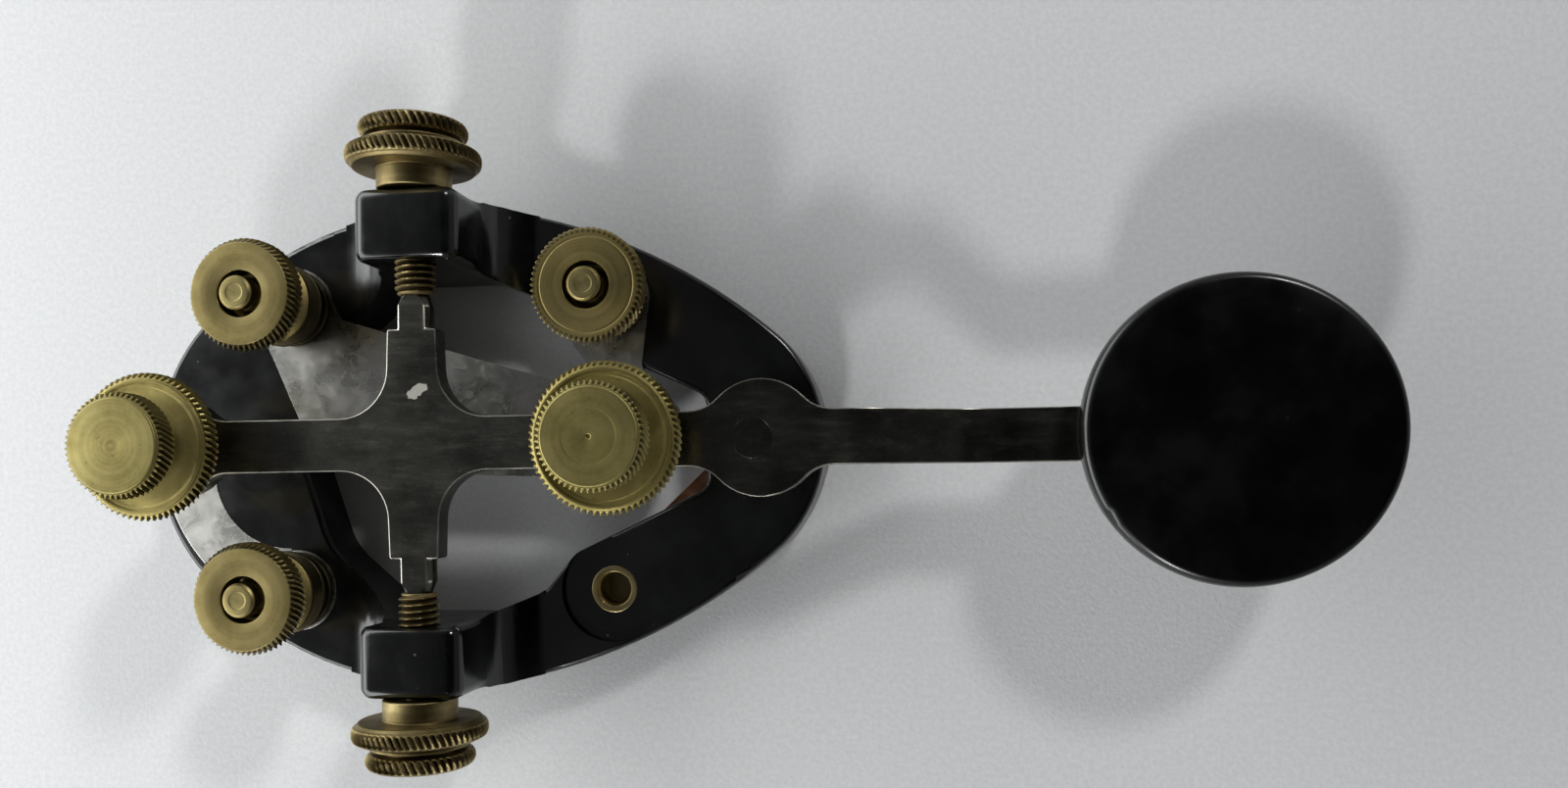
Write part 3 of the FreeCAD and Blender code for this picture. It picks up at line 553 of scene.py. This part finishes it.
def brass(name, bright, dull, seed, dirt_and_shade=DIRT_AND_SHADE, roughness=(0.3, 0.5)):
    """Aged turned brass: fine rings, blotchy tarnish, dirt spots, and dirt with painted shade in the gaps between the
    teeth and in thread roots.
    """
    paint = Paint(name)
    paint.set(metallic=1.0, anisotropy=0.5)
    rings = turned_rings(paint)
    fine = paint.noise(RING_SCALE, 2.0, vector=rings)
    broad = paint.noise(RING_SCALE / 7, 2.0, vector=rings)
    shifted = paint.mapped(Location=(seed * 0.37, seed * 0.11, seed * 0.23))
    blotch = paint.noise(260.0, 5.0, vector=shifted, rough=0.62)
    spots = paint.ramp(paint.noise(1500.0, 3.0, vector=shifted), 0.62, 0.78)
    base = paint.mix(paint.ramp(blotch, 0.32, 0.7), bright, dull)
    base = paint.over(base, paint.ramp(broad, 0.4, 0.68), 0.45, tuple(0.7 * value for value in dull))
    base = paint.over(base, paint.ramp(fine, 0.5, 0.75), 0.35, tuple(1.25 * value for value in bright))
    base = paint.over(base, spots, 0.35, dirt_and_shade)
    # Grooves of knurls and threads darkened towards the dirt colour: dirt and painted shade
    groove_dirt_and_shade = paint.maths("MULTIPLY", paint.ramp(paint.attribute("groove_dirt_and_shade"), 0.15, 0.95), 0.93, clamp=True)
    paint.colour(paint.mix(groove_dirt_and_shade, base, dirt_and_shade))
    level = paint.maths("ADD", paint.between(blotch, *roughness), paint.maths("MULTIPLY", groove_dirt_and_shade, 0.25))
    paint.feed(paint.shader.inputs["Roughness"], level)
    tangent = paint.add("ShaderNodeTangent", direction_type="RADIAL", axis="Z")
    paint.link(tangent.outputs[0], paint.shader.inputs["Tangent"])
    relief = paint.maths("ADD", paint.maths("MULTIPLY", broad, 0.6), paint.maths("MULTIPLY", fine, 0.4))
    paint.bump(relief, 1.0, RING_RELIEF)
    paint.bump(blotch, 0.5, 0.01)
    return paint


def black_moulding(name, seed=0.0, gloss=(0.12, 0.27), dust=1.0, depth=1.0):
    """Old glossy black phenolic: faint waviness, hairline scratches, smears, specks of dust, and lighter rubbed edges
    that are partly wear and partly painted glint.
    """
    paint = Paint(name)
    paint.set(metallic=0.0, specular=0.5, ior=1.6)
    shifted = paint.mapped(Location=(seed, seed * 0.7, seed * 0.3))
    smear = paint.noise(120.0, 5.0, vector=shifted, rough=0.6)
    cells = paint.add("ShaderNodeTexVoronoi")
    cells.inputs["Scale"].default_value = 520.0
    paint.link(shifted, cells.inputs["Vector"])
    sparse = paint.ramp(paint.noise(240.0, 3.0, vector=shifted), 0.56, 0.72)
    speck = paint.maths("MULTIPLY", paint.ramp(cells.outputs["Distance"], 0.05, 0.11, invert=True), sparse)
    speck = paint.maths("MULTIPLY", speck, 0.45 * dust)
    worn = paint.maths("MULTIPLY", paint.ramp(paint.attribute("worn"), 0.2, 0.9),
                       paint.ramp(paint.noise(330.0, 4.0, vector=shifted), 0.5, 0.75))
    dark = tuple(depth * value for value in (0.0022, 0.0024, 0.0024))
    pale = tuple(depth * value for value in (0.0065, 0.007, 0.0068))
    grain = paint.noise(2400.0, 2.0, vector=shifted)
    base = paint.mix(paint.ramp(smear, 0.35, 0.7), dark, pale)
    base = paint.over(base, paint.ramp(grain, 0.5, 0.75), 0.6 * depth, pale)
    # Rubbed edge bands lightened: partly wear, partly painted glint
    base = paint.over(base, worn, 0.25, (0.16, 0.155, 0.14))
    paint.colour(paint.mix(speck, base, (0.42, 0.41, 0.37)))
    level = paint.between(paint.ramp(smear, 0.25, 0.75), *gloss)
    level = paint.maths("ADD", level, paint.maths("MULTIPLY", speck, 0.5))
    paint.feed(paint.shader.inputs["Roughness"], level)
    paint.bump(paint.noise(55.0, 2.0, vector=shifted), 0.6, 0.06)
    paint.bump(paint.noise(900.0, 2.0, vector=shifted), 0.5, 0.0015)
    for angle, reach in ((17.0, 900.0), (74.0, 1100.0)):
        along = paint.mapped(shifted, Rotation=(0.0, 0.0, math.radians(angle)), Scale=(22.0, reach, reach))
        scratch = paint.ramp(paint.noise(1.0, 1.0, vector=along), 0.70, 0.76)
        paint.bump(scratch, 0.35, 0.002)
    return paint


def nickel_strip(name):
    """Bright plated strip gone cloudy: mirror patches between grey stains, with scuffs along it."""
    paint = Paint(name)
    paint.set(metallic=1.0)
    cloud = paint.noise(190.0, 6.0, rough=0.65, distortion=0.6)
    stain = paint.ramp(paint.noise(520.0, 6.0, rough=0.7, distortion=1.2), 0.5, 0.66)
    base = paint.mix(paint.ramp(cloud, 0.35, 0.65), (0.50, 0.49, 0.455), (0.60, 0.59, 0.55))
    patch = paint.ramp(paint.noise(95.0, 3.0, rough=0.5), 0.56, 0.7)
    base = paint.over(base, paint.maths("MULTIPLY", stain, patch), 0.75, (0.14, 0.135, 0.115))
    base = paint.over(base, stain, 0.16, (0.2, 0.19, 0.165))
    base = paint.over(base, paint.ramp(paint.attribute("worn"), 0.3, 0.9), 0.8, (0.85, 0.84, 0.8))
    paint.colour(base)
    level = paint.between(paint.ramp(cloud, 0.3, 0.7), 0.24, 0.34)
    level = paint.maths("ADD", level, paint.maths("MULTIPLY", stain, 0.1))
    paint.feed(paint.shader.inputs["Roughness"], level)
    paint.bump(paint.noise(95.0, 3.0), 0.6, 0.03)
    paint.bump(paint.noise(1.0, 3.0, stretch=(260.0, 2600.0, 800.0)), 0.5, 0.002)
    return paint


FLECK_PLACE = (0.5, 6.2, 18.3)
FLECK_ANGLE = 32.0
FLECK_SCALE = (1.0, 0.42, 3.0)
FLECK_EDGE = (0.00262, 0.00275)   # where the fleck's ragged outline fades, in metres from its middle


def lever_steel(name):
    """Dark brushed steel, oiled and aged, worn bright at its edges, with one light fleck."""
    paint = Paint(name)
    paint.set(metallic=1.0)
    brushed = paint.noise(1.0, 4.0, stretch=(420.0, 4200.0, 4200.0), rough=0.6)
    streak = paint.noise(1.0, 4.0, stretch=(160.0, 800.0, 800.0), rough=0.65)
    cloud = paint.noise(150.0, 5.0, rough=0.6)
    base = paint.mix(paint.ramp(cloud, 0.3, 0.72), (0.082, 0.080, 0.069), (0.112, 0.109, 0.096))
    base = paint.over(base, paint.ramp(streak, 0.5, 0.8), 0.3, (0.19, 0.185, 0.165))
    base = paint.over(base, paint.ramp(brushed, 0.35, 0.75), 0.35, (0.045, 0.045, 0.039))
    speckle = paint.ramp(paint.noise(2300.0, 3.0, rough=0.6), 0.55, 0.75)
    base = paint.over(base, speckle, 0.3, (0.24, 0.235, 0.20))
    uneven = paint.between(paint.ramp(cloud, 0.3, 0.6), 0.55, 1.0)
    base = paint.over(base, paint.ramp(paint.attribute("worn"), 0.35, 0.95), uneven, (0.58, 0.56, 0.48))
    offset = paint.add("ShaderNodeVectorMath", operation="SUBTRACT")
    paint.link(paint.object_coordinate, offset.inputs[0])
    offset.inputs[1].default_value = place(*FLECK_PLACE)
    turned = (0.0, 0.0, math.radians(FLECK_ANGLE))
    length = paint.add("ShaderNodeVectorMath", operation="LENGTH")
    paint.link(paint.mapped(offset.outputs[0], "TEXTURE", Rotation=turned, Scale=FLECK_SCALE), length.inputs[0])
    ragged = paint.maths("ADD", length.outputs["Value"], paint.maths("MULTIPLY", paint.noise(900.0, 3.0), 0.0024))
    fleck = paint.ramp(ragged, *FLECK_EDGE, invert=True)
    paint.colour(paint.mix(fleck, base, (0.40, 0.385, 0.34)))
    paint.feed(paint.shader.inputs["Metallic"], paint.maths("SUBTRACT", 1.0, fleck))
    level = paint.between(paint.ramp(cloud, 0.3, 0.7), 0.26, 0.34)
    level = paint.maths("ADD", level, paint.maths("MULTIPLY", paint.ramp(streak, 0.4, 0.8), 0.08))
    paint.feed(paint.shader.inputs["Roughness"], level)
    paint.bump(brushed, 0.6, 0.004)
    paint.bump(paint.noise(420.0, 3.0), 0.4, 0.005)
    return paint


def plain_metal(name, bright, dull, roughness, worn_colour=None):
    """Cloudy metal, darkened in its hollows with dirt and painted shade, and brighter along worn edges."""
    paint = Paint(name)
    paint.set(metallic=1.0)
    cloud = paint.noise(420.0, 5.0, rough=0.6)
    base = paint.mix(paint.ramp(cloud, 0.3, 0.7), dull, bright)
    if worn_colour:
        base = paint.mix(paint.ramp(paint.attribute("worn"), 0.3, 0.9), base, worn_colour)
    # Hollows darkened: dirt and painted shade
    groove_dirt_and_shade = paint.ramp(paint.attribute("groove_dirt_and_shade"), 0.2, 0.95)
    paint.colour(paint.over(base, groove_dirt_and_shade, 0.85, tuple(0.15 * value for value in dull)))
    paint.feed(paint.shader.inputs["Roughness"], paint.between(paint.ramp(cloud, 0.3, 0.7), *roughness))
    paint.bump(paint.noise(1300.0, 3.0), 0.4, 0.006)
    return paint


cap_brass = brass("turned_cap_brass", (0.335, 0.285, 0.11), (0.22, 0.182, 0.062), 1, roughness=(0.4, 0.54))
nut_brass = brass("turned_lock_nut_brass", (0.42, 0.35, 0.13), (0.27, 0.22, 0.074), 2)
thumb_brass = brass("turned_thumb_nut_brass", (0.33, 0.266, 0.112), (0.21, 0.165, 0.06), 3)
thumb_dull_brass = brass("turned_dull_nut_brass", (0.375, 0.30, 0.122), (0.245, 0.192, 0.07), 4)
stud_brass = brass("stud_brass", (0.37, 0.305, 0.13), (0.22, 0.18, 0.07), 5)
# Brass darkened for the shade under the thumb nuts: painted shade on the collars and washers
painted_shade_brass = brass("collar_brass_painted_shade", (0.12, 0.10, 0.055), (0.05, 0.042, 0.024), 6, dirt_and_shade=(0.01, 0.008, 0.005))
patina_brass = brass("trunnion_patina_brass", (0.33, 0.265, 0.125), (0.16, 0.12, 0.05), 7,
                     dirt_and_shade=(0.02, 0.013, 0.005), roughness=(0.32, 0.52))
fitting_brass = brass("fitting_brass", (0.72, 0.60, 0.30), (0.50, 0.40, 0.18), 8, roughness=(0.22, 0.36))
frame_black = black_moulding("frame_black_phenolic")
knob_black = black_moulding("knob_black_phenolic", seed=0.4, gloss=(0.2, 0.32), dust=0.15, depth=0.2)
strap_nickel = nickel_strip("strap_nickel")
lever_dark = lever_steel("lever_dark_steel")
copper = plain_metal("strap_copper", (0.50, 0.26, 0.16), (0.26, 0.13, 0.08), (0.3, 0.5), (0.62, 0.36, 0.24))
contact_silver = plain_metal("contact_silver", (0.62, 0.61, 0.57), (0.36, 0.35, 0.32), (0.22, 0.4), (0.8, 0.79, 0.75))
screw_steel = plain_metal("screw_steel", (0.42, 0.42, 0.40), (0.24, 0.24, 0.22), (0.28, 0.42), (0.6, 0.6, 0.57))
spring_wire = plain_metal("spring_wire", (0.36, 0.35, 0.33), (0.2, 0.195, 0.18), (0.25, 0.4))

# ================================================================ frame, straps and lever
BASE_TOP = 7.0
RECESS_LOW = 5.5         # the edges of the strap recesses are all above this
STRAP_TOP = 7.1
SCREW_RADIUS = 2.413
CAP_BORE = SCREW_RADIUS + 0.05
STUD_RADIUS = 2.083
COLLAR_BORE = STUD_RADIUS + 0.02
INSERT_RADIUS = 3.0
LEVER_TOP = 18.3


def above_rail(edge):
    return min(vert.co.z for vert in edge.verts) > BASE_TOP + 0.05


def lever_outline(edge):
    """Lever edges other than the flush rivet's hole and the pivot cones."""
    centre = middle("lever_contact") / MM
    return all((vert.co.xy - centre.xy).length > 2.7 and abs(vert.co.y) < 17.0 for vert in edge.verts)


def at_recess(edge):
    return not above_rail(edge) and min(vert.co.z for vert in edge.verts) > RECESS_LOW


BOSS_HALF = 6.4
BOSS_OUTER = 30.32
BOSS_INNER = 21.5
BOSS_ROUND = 1.45
BOSS_FOOT = 10.0         # the rounding starts here and is full BOSS_BLEND higher
BOSS_BLEND = 4.5
BOSS_SHOULDER = 20.3
BOSS_CROWN = 0.6


def slice_bosses(bm, point, normal):
    """Cut the faces of both bosses, and of nothing else, along a plane."""
    faces = [face for face in bm.faces
             if max(vert.co.z for vert in face.verts) > 8.0 and abs(face.calc_center_median().y) > 19.0
             and abs(face.calc_center_median().x - PIVOT_X / MM) < 12.0]
    around = set(faces)
    for face in faces:
        around.update(face.edges)
        around.update(face.verts)
    bmesh.ops.bisect_plane(bm, geom=list(around), dist=1e-4, plane_co=point, plane_no=normal)


def round_bosses(bm):
    """Round the bosses' upright corners and top edges; the swept foot is left alone."""
    steps = [BOSS_ROUND * (1 - math.cos(math.radians(angle))) for angle in (18, 36, 54, 72, 89)]
    centre = PIVOT_X / MM
    for step in steps:
        for side in (-1, 1):
            slice_bosses(bm, (centre + side * (BOSS_HALF - step), 0, 0), (1, 0, 0))
            slice_bosses(bm, (0, side * (BOSS_OUTER - step), 0), (0, 1, 0))
            slice_bosses(bm, (0, side * (BOSS_INNER + step), 0), (0, 1, 0))
        slice_bosses(bm, (0, 0, BOSS_SHOULDER - step), (0, 0, 1))
    for rise in (0.5, 1.5, 2.5, 3.5, 4.5):
        slice_bosses(bm, (0, 0, BOSS_FOOT + rise), (0, 0, 1))
    for vert in bm.verts:
        x = vert.co.x - centre
        y = abs(vert.co.y)
        if vert.co.z < BOSS_FOOT or y < 20.0 or abs(x) > BOSS_HALF + 0.1:
            continue
        top = BOSS_SHOULDER + BOSS_CROWN - BOSS_CROWN * (x / BOSS_HALF) ** 2
        core = Vector((min(max(x, BOSS_ROUND - BOSS_HALF), BOSS_HALF - BOSS_ROUND),
                       min(max(y, BOSS_INNER + BOSS_ROUND), BOSS_OUTER - BOSS_ROUND),
                       min(vert.co.z, top - BOSS_ROUND)))
        away = Vector((x, y, vert.co.z)) - core
        if away.length <= BOSS_ROUND:
            continue
        share = min(1.0, (vert.co.z - BOSS_FOOT) / BOSS_BLEND)
        share = share * share * (3 - 2 * share)
        moved = (core + away * (BOSS_ROUND / away.length)).lerp(core + away, 1 - share)
        vert.co = (moved.x + centre, math.copysign(moved.y, vert.co.y), moved.z)


worn_copy("base_frame", "frame_moulding", frame_black, 0.3, above_rail, segments=3, more=[(0.16, at_recess)],
          first=round_bosses)
worn_copy("common_strap", "common_strap_plated", strap_nickel, 0.08)
worn_copy("rear_contact_strap", "rear_strap_plated", strap_nickel, 0.08)
worn_copy("front_contact_strap", "front_strap_copper", copper, 0.08)
worn_copy("lever", "lever_bar", lever_dark, 0.16, lever_outline, clamp=False)
worn_copy("knob_screw", "knob_screw_slotted", screw_steel, 0.08)


# ================================================================ rivets, contacts and inserts
def rivet(node, name, radius, height, paint):
    """Low domed head on a strap, with its shank in the frame."""
    low = 6.25
    shank = 1.2
    top = STRAP_TOP + height
    upright(node, name, [(0, low), (shank, low), (shank, STRAP_TOP), (radius, STRAP_TOP), (radius, top - 0.05),
                         (radius * 0.6, top), (0, top)], paint)


rivet("spring_seat", "spring_seat_rivet", 1.45, 1.3, fitting_brass)
rivet("rear_anvil", "rear_anvil_rivet", 2.0, 0.5, contact_silver)
upright("fixed_contact", "fixed_contact_post", [
    (0, 0.25), (STUD_RADIUS, 0.25), (STUD_RADIUS, BASE_TOP), (3.0, BASE_TOP), (3.0, 8.2), (2.5, 8.6), (2.5, 12.5),
    (1.7, 12.7), (1.7, 13.35), (1.55, 13.5), (0, 13.5)], contact_silver)
upright("lever_contact", "lever_contact_rivet", [
    (0, 14.3), (1.55, 14.3), (1.7, 14.45), (1.7, 16.5), (2.4, 16.5), (2.4, LEVER_TOP - 0.03), (2.34, LEVER_TOP),
    (1.2, LEVER_TOP + 0.01), (0, LEVER_TOP)], lever_dark, round_off=0.03)
for corner in ("rear_left", "rear_right", "front_left"):
    upright("insert_" + corner, "insert_" + corner + "_brass", [
        (COLLAR_BORE, 0.3), (INSERT_RADIUS, 0.3), (INSERT_RADIUS, 6.2), (COLLAR_BORE + 0.35, 6.2), (COLLAR_BORE, 5.85)],
        fitting_brass, round_off=0.05)
upright("insert_front_right", "insert_bare_brass", [
    (2.0, 0.95), (INSERT_RADIUS, 0.95), (INSERT_RADIUS, 6.15), (2.9, 6.2), (2.25, 6.2), (1.95, 5.75), (1.95, 5.3),
    (2.0, 5.0)], fitting_brass, Thread(0.95, 5.4, 0.2), round_off=0.05)

# ================================================================ terminal posts
NUT_RADIUS = 6.9
NUT_HEIGHT = 6.9
NUT_BAND = 2.9           # height of the knurled band
LEFT_NUT_TOP = 17.3      # the front left post is lower than the other two
REAR_NUT_TOP = 19.6
STUD_PROUD = 1.0


def thumb_nut(corner, top, face, paint, band_top, seed, round_off):
    """Waisted nut with a knurled rim; face runs from the rim inwards over the top."""
    foot = top - NUT_HEIGHT
    bore = STUD_RADIUS + 0.05
    profile = [
        (bore, foot), (5.25, foot), (5.43, foot + 0.15), (5.43, foot + 0.6), (4.6, foot + 1.05), (4.05, foot + 1.7),
        (3.85, foot + 2.6), (4.1, foot + 3.5), (5.0, foot + 4.0), (6.6, foot + 4.15), (NUT_RADIUS, foot + 4.45),
        *face, (2.85, top), (2.85, top - 2.4), (bore, top - 2.7)]
    knurl = Knurl(NUT_RADIUS, top - NUT_BAND, band_top, 60, 0.62, 24.0, wear=0.22, seed=seed)
    upright("thumb_nut_" + corner, "thumb_nut_" + corner + "_knurled", profile, paint, knurl, round_off)


def post_parts(corner, top):
    """Threaded stud, grooved collar and washer below a thumb nut; collar and washer are brass darkened as painted
    shade.
    """
    upright("stud_" + corner, "stud_" + corner + "_threaded", [
        (0, 0.35), (STUD_RADIUS, 0.35), (STUD_RADIUS, top - 0.3), (STUD_RADIUS - 0.28, top - 0.02),
        (1.1, top), (1.0, top - 0.03), (0, top - 0.02)], stud_brass, Thread(6.5, top - 1.2, 0.3), round_off=0.05)
    outline = [(4.75, 0.0), (5.0, 0.25), (5.0, 0.75), (4.8, 0.95), (4.8, 1.45), (5.0, 1.65), (5.0, 2.15), (4.75, 2.4)]
    upright("post_collar_" + corner, "post_collar_" + corner + "_painted_shade", [
        (COLLAR_BORE, STRAP_TOP), *((radius, STRAP_TOP + rise) for radius, rise in outline),
        (COLLAR_BORE, STRAP_TOP + 2.4)], painted_shade_brass, round_off=0.08)
    upright("washer_" + corner, "washer_" + corner + "_turned", [
        (COLLAR_BORE, 9.5), (5.2, 9.5), (5.3, 9.6), (5.3, 10.0), (5.2, 10.1), (COLLAR_BORE, 10.1)], painted_shade_brass,
        round_off=0.06)


rear_face = [(NUT_RADIUS, REAR_NUT_TOP - 0.85), (6.45, REAR_NUT_TOP - 0.4), (6.3, REAR_NUT_TOP - 0.12),
             (6.2, REAR_NUT_TOP)]
grooved_face = [(NUT_RADIUS, LEFT_NUT_TOP - 0.3), (6.7, LEFT_NUT_TOP), (5.85, LEFT_NUT_TOP),
                (5.7, LEFT_NUT_TOP - 0.05), (5.55, LEFT_NUT_TOP)]
thumb_nut("rear_left", REAR_NUT_TOP, rear_face, thumb_brass, REAR_NUT_TOP - 0.04, seed=1, round_off=0.12)
thumb_nut("rear_right", REAR_NUT_TOP, rear_face, thumb_brass, REAR_NUT_TOP - 0.04, seed=0, round_off=0.12)
thumb_nut("front_left", LEFT_NUT_TOP, grooved_face, thumb_dull_brass, LEFT_NUT_TOP + 0.01, seed=5, round_off=0.1)
post_parts("rear_left", REAR_NUT_TOP + STUD_PROUD)
post_parts("rear_right", REAR_NUT_TOP + STUD_PROUD)
post_parts("front_left", LEFT_NUT_TOP + STUD_PROUD)

# ================================================================ knob
KNOB_TOP = 16.8
KNOB_LOW = 12.2


KNOB_RADIUS = 17.65
CHIP_PHASE = 0.592
CHIP_HALF = 1.1
CHIP_DEPTH = 0.35


class ChippedRim(Plain):
    """Plain turned surface with one small chip out of its top edge."""
    phases = [index / 240 for index in range(240)]

    def cut(self, radius, height, phase, column):
        apart = abs((phase - CHIP_PHASE + 0.5) % 1.0 - 0.5) * TAU * KNOB_RADIUS
        dent = max(0.0, 1.0 - (apart / CHIP_HALF) ** 2) if height > KNOB_TOP - 1.0 and radius > 16.0 else 0.0
        return radius - CHIP_DEPTH * dent * (0.7 + 0.3 * math.sin(phase * 2400)), phase * TAU, 0.6 * dent


upright("knob", "knob_moulding", [
    (INSERT_RADIUS, KNOB_LOW), (6.5, KNOB_LOW), (7.2, KNOB_LOW + 0.5), (14.6, KNOB_LOW + 0.5), (15.2, KNOB_LOW),
    (17.0, KNOB_LOW), (17.5, KNOB_LOW + 0.4), (KNOB_RADIUS, KNOB_LOW + 2.0), (KNOB_RADIUS, KNOB_TOP - 1.3),
    (17.45, KNOB_TOP - 0.45), (16.9, KNOB_TOP - 0.06), (15.6, KNOB_TOP), (10.0, KNOB_TOP - 0.05),
    (0, KNOB_TOP - 0.08), (0, KNOB_TOP - 1.2), (INSERT_RADIUS, KNOB_TOP - 1.2)],
    knob_black, ChippedRim(), round_off=0.3, closed=True)
upright("knob_insert", "knob_insert_brass", [
    (COLLAR_BORE, KNOB_LOW), (INSERT_RADIUS, KNOB_LOW), (INSERT_RADIUS, 15.6), (0, 15.6), (0, 15.0),
    (COLLAR_BORE, 15.0)], fitting_brass, round_off=0.04, closed=True)
upright("knob_washer", "knob_washer_steel", [
    (STUD_RADIUS, 8.9), (3.8, 8.9), (3.9, 9.0), (3.9, 9.3), (3.8, 9.4), (STUD_RADIUS, 9.4)], screw_steel,
    round_off=0.05)

# ================================================================ adjusting screws
CAP_LOW = 26.3
CAP_RADIUS = 6.15
SCREW_TOP = 28.0
LOCK_NUT_RADIUS = 8.8
LOCK_NUT_FLANGE = 22.0
SPRING_TOP = 12.95       # the spring screw's shoulder


def cap_and_nut(prefix, face, centre_rings, seed):
    """Knurled cap with its face at the given height, and the dished lock nut below it."""
    knurl = Knurl(CAP_RADIUS, CAP_LOW, face - 0.34, 56, 0.52, 22.0, wear=0.25, seed=seed)
    upright(prefix + "_screw_cap", prefix + "_cap_knurled", [
        (CAP_BORE, CAP_LOW - 0.9), (3.4, CAP_LOW - 0.9), (3.4, CAP_LOW), (5.85, CAP_LOW), (CAP_RADIUS, CAP_LOW + 0.3),
        (CAP_RADIUS, face - 0.5), (5.62, face - 0.34), (5.5, face - 0.1), (5.35, face),
        *((radius, face - depth) for radius, depth in centre_rings),
        (0, SCREW_TOP + 0.05), (CAP_BORE, SCREW_TOP + 0.05)], cap_brass, knurl, round_off=0.09, closed=True)
    knurl = Knurl(LOCK_NUT_RADIUS, LOCK_NUT_FLANGE, 24.04, 70, 0.66, 24.0, wear=0.22, seed=seed + 7)
    upright(prefix + "_lock_nut", prefix + "_lock_nut_knurled", [
        (CAP_BORE, 18.35), (4.9, 18.35), (5.0, 18.5), (5.0, LOCK_NUT_FLANGE), (8.35, LOCK_NUT_FLANGE),
        (LOCK_NUT_RADIUS, 22.4), (LOCK_NUT_RADIUS, 23.6), (8.3, 24.0), (8.0, 24.08), (7.95, 24.3), (7.6, 24.3),
        (7.45, 24.05), (7.15, 23.95), (7.0, 23.8), (5.5, 23.55), (4.0, 23.3), (CAP_BORE, 23.3)],
        nut_brass, knurl, round_off=0.1)


cap_and_nut("gap", 29.15, [(1.2, 0.0), (1.0, 0.008), (0.0, 0.0)], seed=11)
cap_and_nut("spring", 29.6, [(3.15, 0.0), (3.0, 0.018), (2.6, 0.01), (0.3, 0.01), (0.0, 0.35)], seed=12)
upright("gap_screw", "gap_screw_threaded", [
    (0, 7.65), (1.6, 7.65), (1.7, 7.75), (1.7, 8.6), (2.2, 8.65), (SCREW_RADIUS, 8.9), (SCREW_RADIUS, SCREW_TOP),
    (0, SCREW_TOP)], stud_brass, Thread(8.8, 25.3, 0.42), round_off=0.05)
upright("spring_screw", "spring_screw_threaded", [
    (0, 11.2), (1.3, 11.2), (1.45, 11.35), (1.45, SPRING_TOP), (2.2, 13.0), (SCREW_RADIUS, 13.25),
    (SCREW_RADIUS, SCREW_TOP), (0, SCREW_TOP)], stud_brass, Thread(13.1, 25.3, 0.42), round_off=0.05)


def make_spring():
    """Round-wire spring with ends closed flat against the strap and the screw's shoulder."""
    wire = 0.3           # radius of the wire
    reach = 1.95         # radius of the coil to the wire's middle
    low = STRAP_TOP + wire
    rise = SPRING_TOP - wire - low
    turns = 6
    per_turn = 28
    around = 10
    bm = bmesh.new()
    rings = []
    for step in range(turns * per_turn + 1):
        share = step / (turns * per_turn)
        angle = share * turns * TAU
        lift = min(1.0, max(0.0, (share * turns - 0.6) / (turns - 1.2)))
        centre = Vector((reach * math.cos(angle), reach * math.sin(angle), low + rise * lift))
        outward = Vector((math.cos(angle), math.sin(angle), 0.0))
        rings.append([bm.verts.new(centre + (outward * math.cos(k * TAU / around)
                                             + Vector((0, 0, 1)) * math.sin(k * TAU / around)) * wire)
                      for k in range(around)])
    for lower, upper in zip(rings, rings[1:]):
        for k in range(around):
            bm.faces.new((lower[k], lower[(k + 1) % around], upper[(k + 1) % around], upper[k]))
    bm.faces.new(rings[0])
    bm.faces.new(rings[-1])
    thing = mesh_object("tension_spring_coil", bm, spring_wire)
    centre = middle("tension_spring")
    thing.location = (centre.x, centre.y, 0.0)
    return stand_for(thing, "tension_spring")


spring = make_spring()
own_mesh(spring)

# ================================================================ trunnion screws
for name, side in (("left", 1), ("right", -1)):
    sideways("trunnion_screw_" + name, "trunnion_screw_" + name + "_threaded", [
        (0, 21.694), (1.627, 17.87), (1.91, 17.87), (2.2, 18.1), (SCREW_RADIUS, 18.47),
        (SCREW_RADIUS, 37.6), (0, 37.6)], patina_brass, side, Thread(18.0, 30.6, 0.46), round_off=0.05)
    rim = Knurl(6.4, 36.75, 38.65, 44, 0.5, -26.0, rolled=True, wear=0.3, seed=21 + side)
    sideways("trunnion_head_" + name, "trunnion_head_" + name + "_knurled", [
        (CAP_BORE, 35.75), (5.8, 35.75), (6.0, 35.85), (6.0, 36.15), (5.85, 36.25), (4.6, 36.3), (4.6, 36.7),
        (5.75, 36.75), (6.2, 37.0), (6.4, 37.45), (6.4, 37.95), (6.15, 38.45), (5.6, 38.72), (5.2, 38.66),
        (3.0, 38.62), (0.4, 38.6), (0, 38.6), (0, 37.7), (CAP_BORE, 37.7)], patina_brass, side, rim, round_off=0.1)
    rim = Knurl(7.95, 33.5, 35.45, 60, 0.5, -26.0, rolled=True, wear=0.3, seed=31 + side)
    sideways("trunnion_nut_" + name, "trunnion_nut_" + name + "_knurled", [
        (CAP_BORE, 30.45), (4.25, 30.45), (4.4, 30.6), (4.4, 32.97), (6.95, 32.97), (7.15, 33.02), (7.45, 33.35),
        (7.8, 33.6), (7.95, 34.05), (7.95, 34.75), (7.75, 35.2), (7.2, 35.5), (6.6, 35.6), (CAP_BORE, 35.6)],
        patina_brass, side, rim, round_off=0.1)

make_camera()
make_world()
make_floor()
sun("front_soft", (-0.27, -0.96, 0.65), 0.95)
sun("back_soft", (0.56, 0.83, 0.7), 0.9)
area_light("tail_soft", (-0.92, 0.0, 0.40), 0.31, 1.0, 0.2, 2.2, (0.98, 1.0, 1.0))
bpy.context.scene.view_settings.view_transform = "Standard"
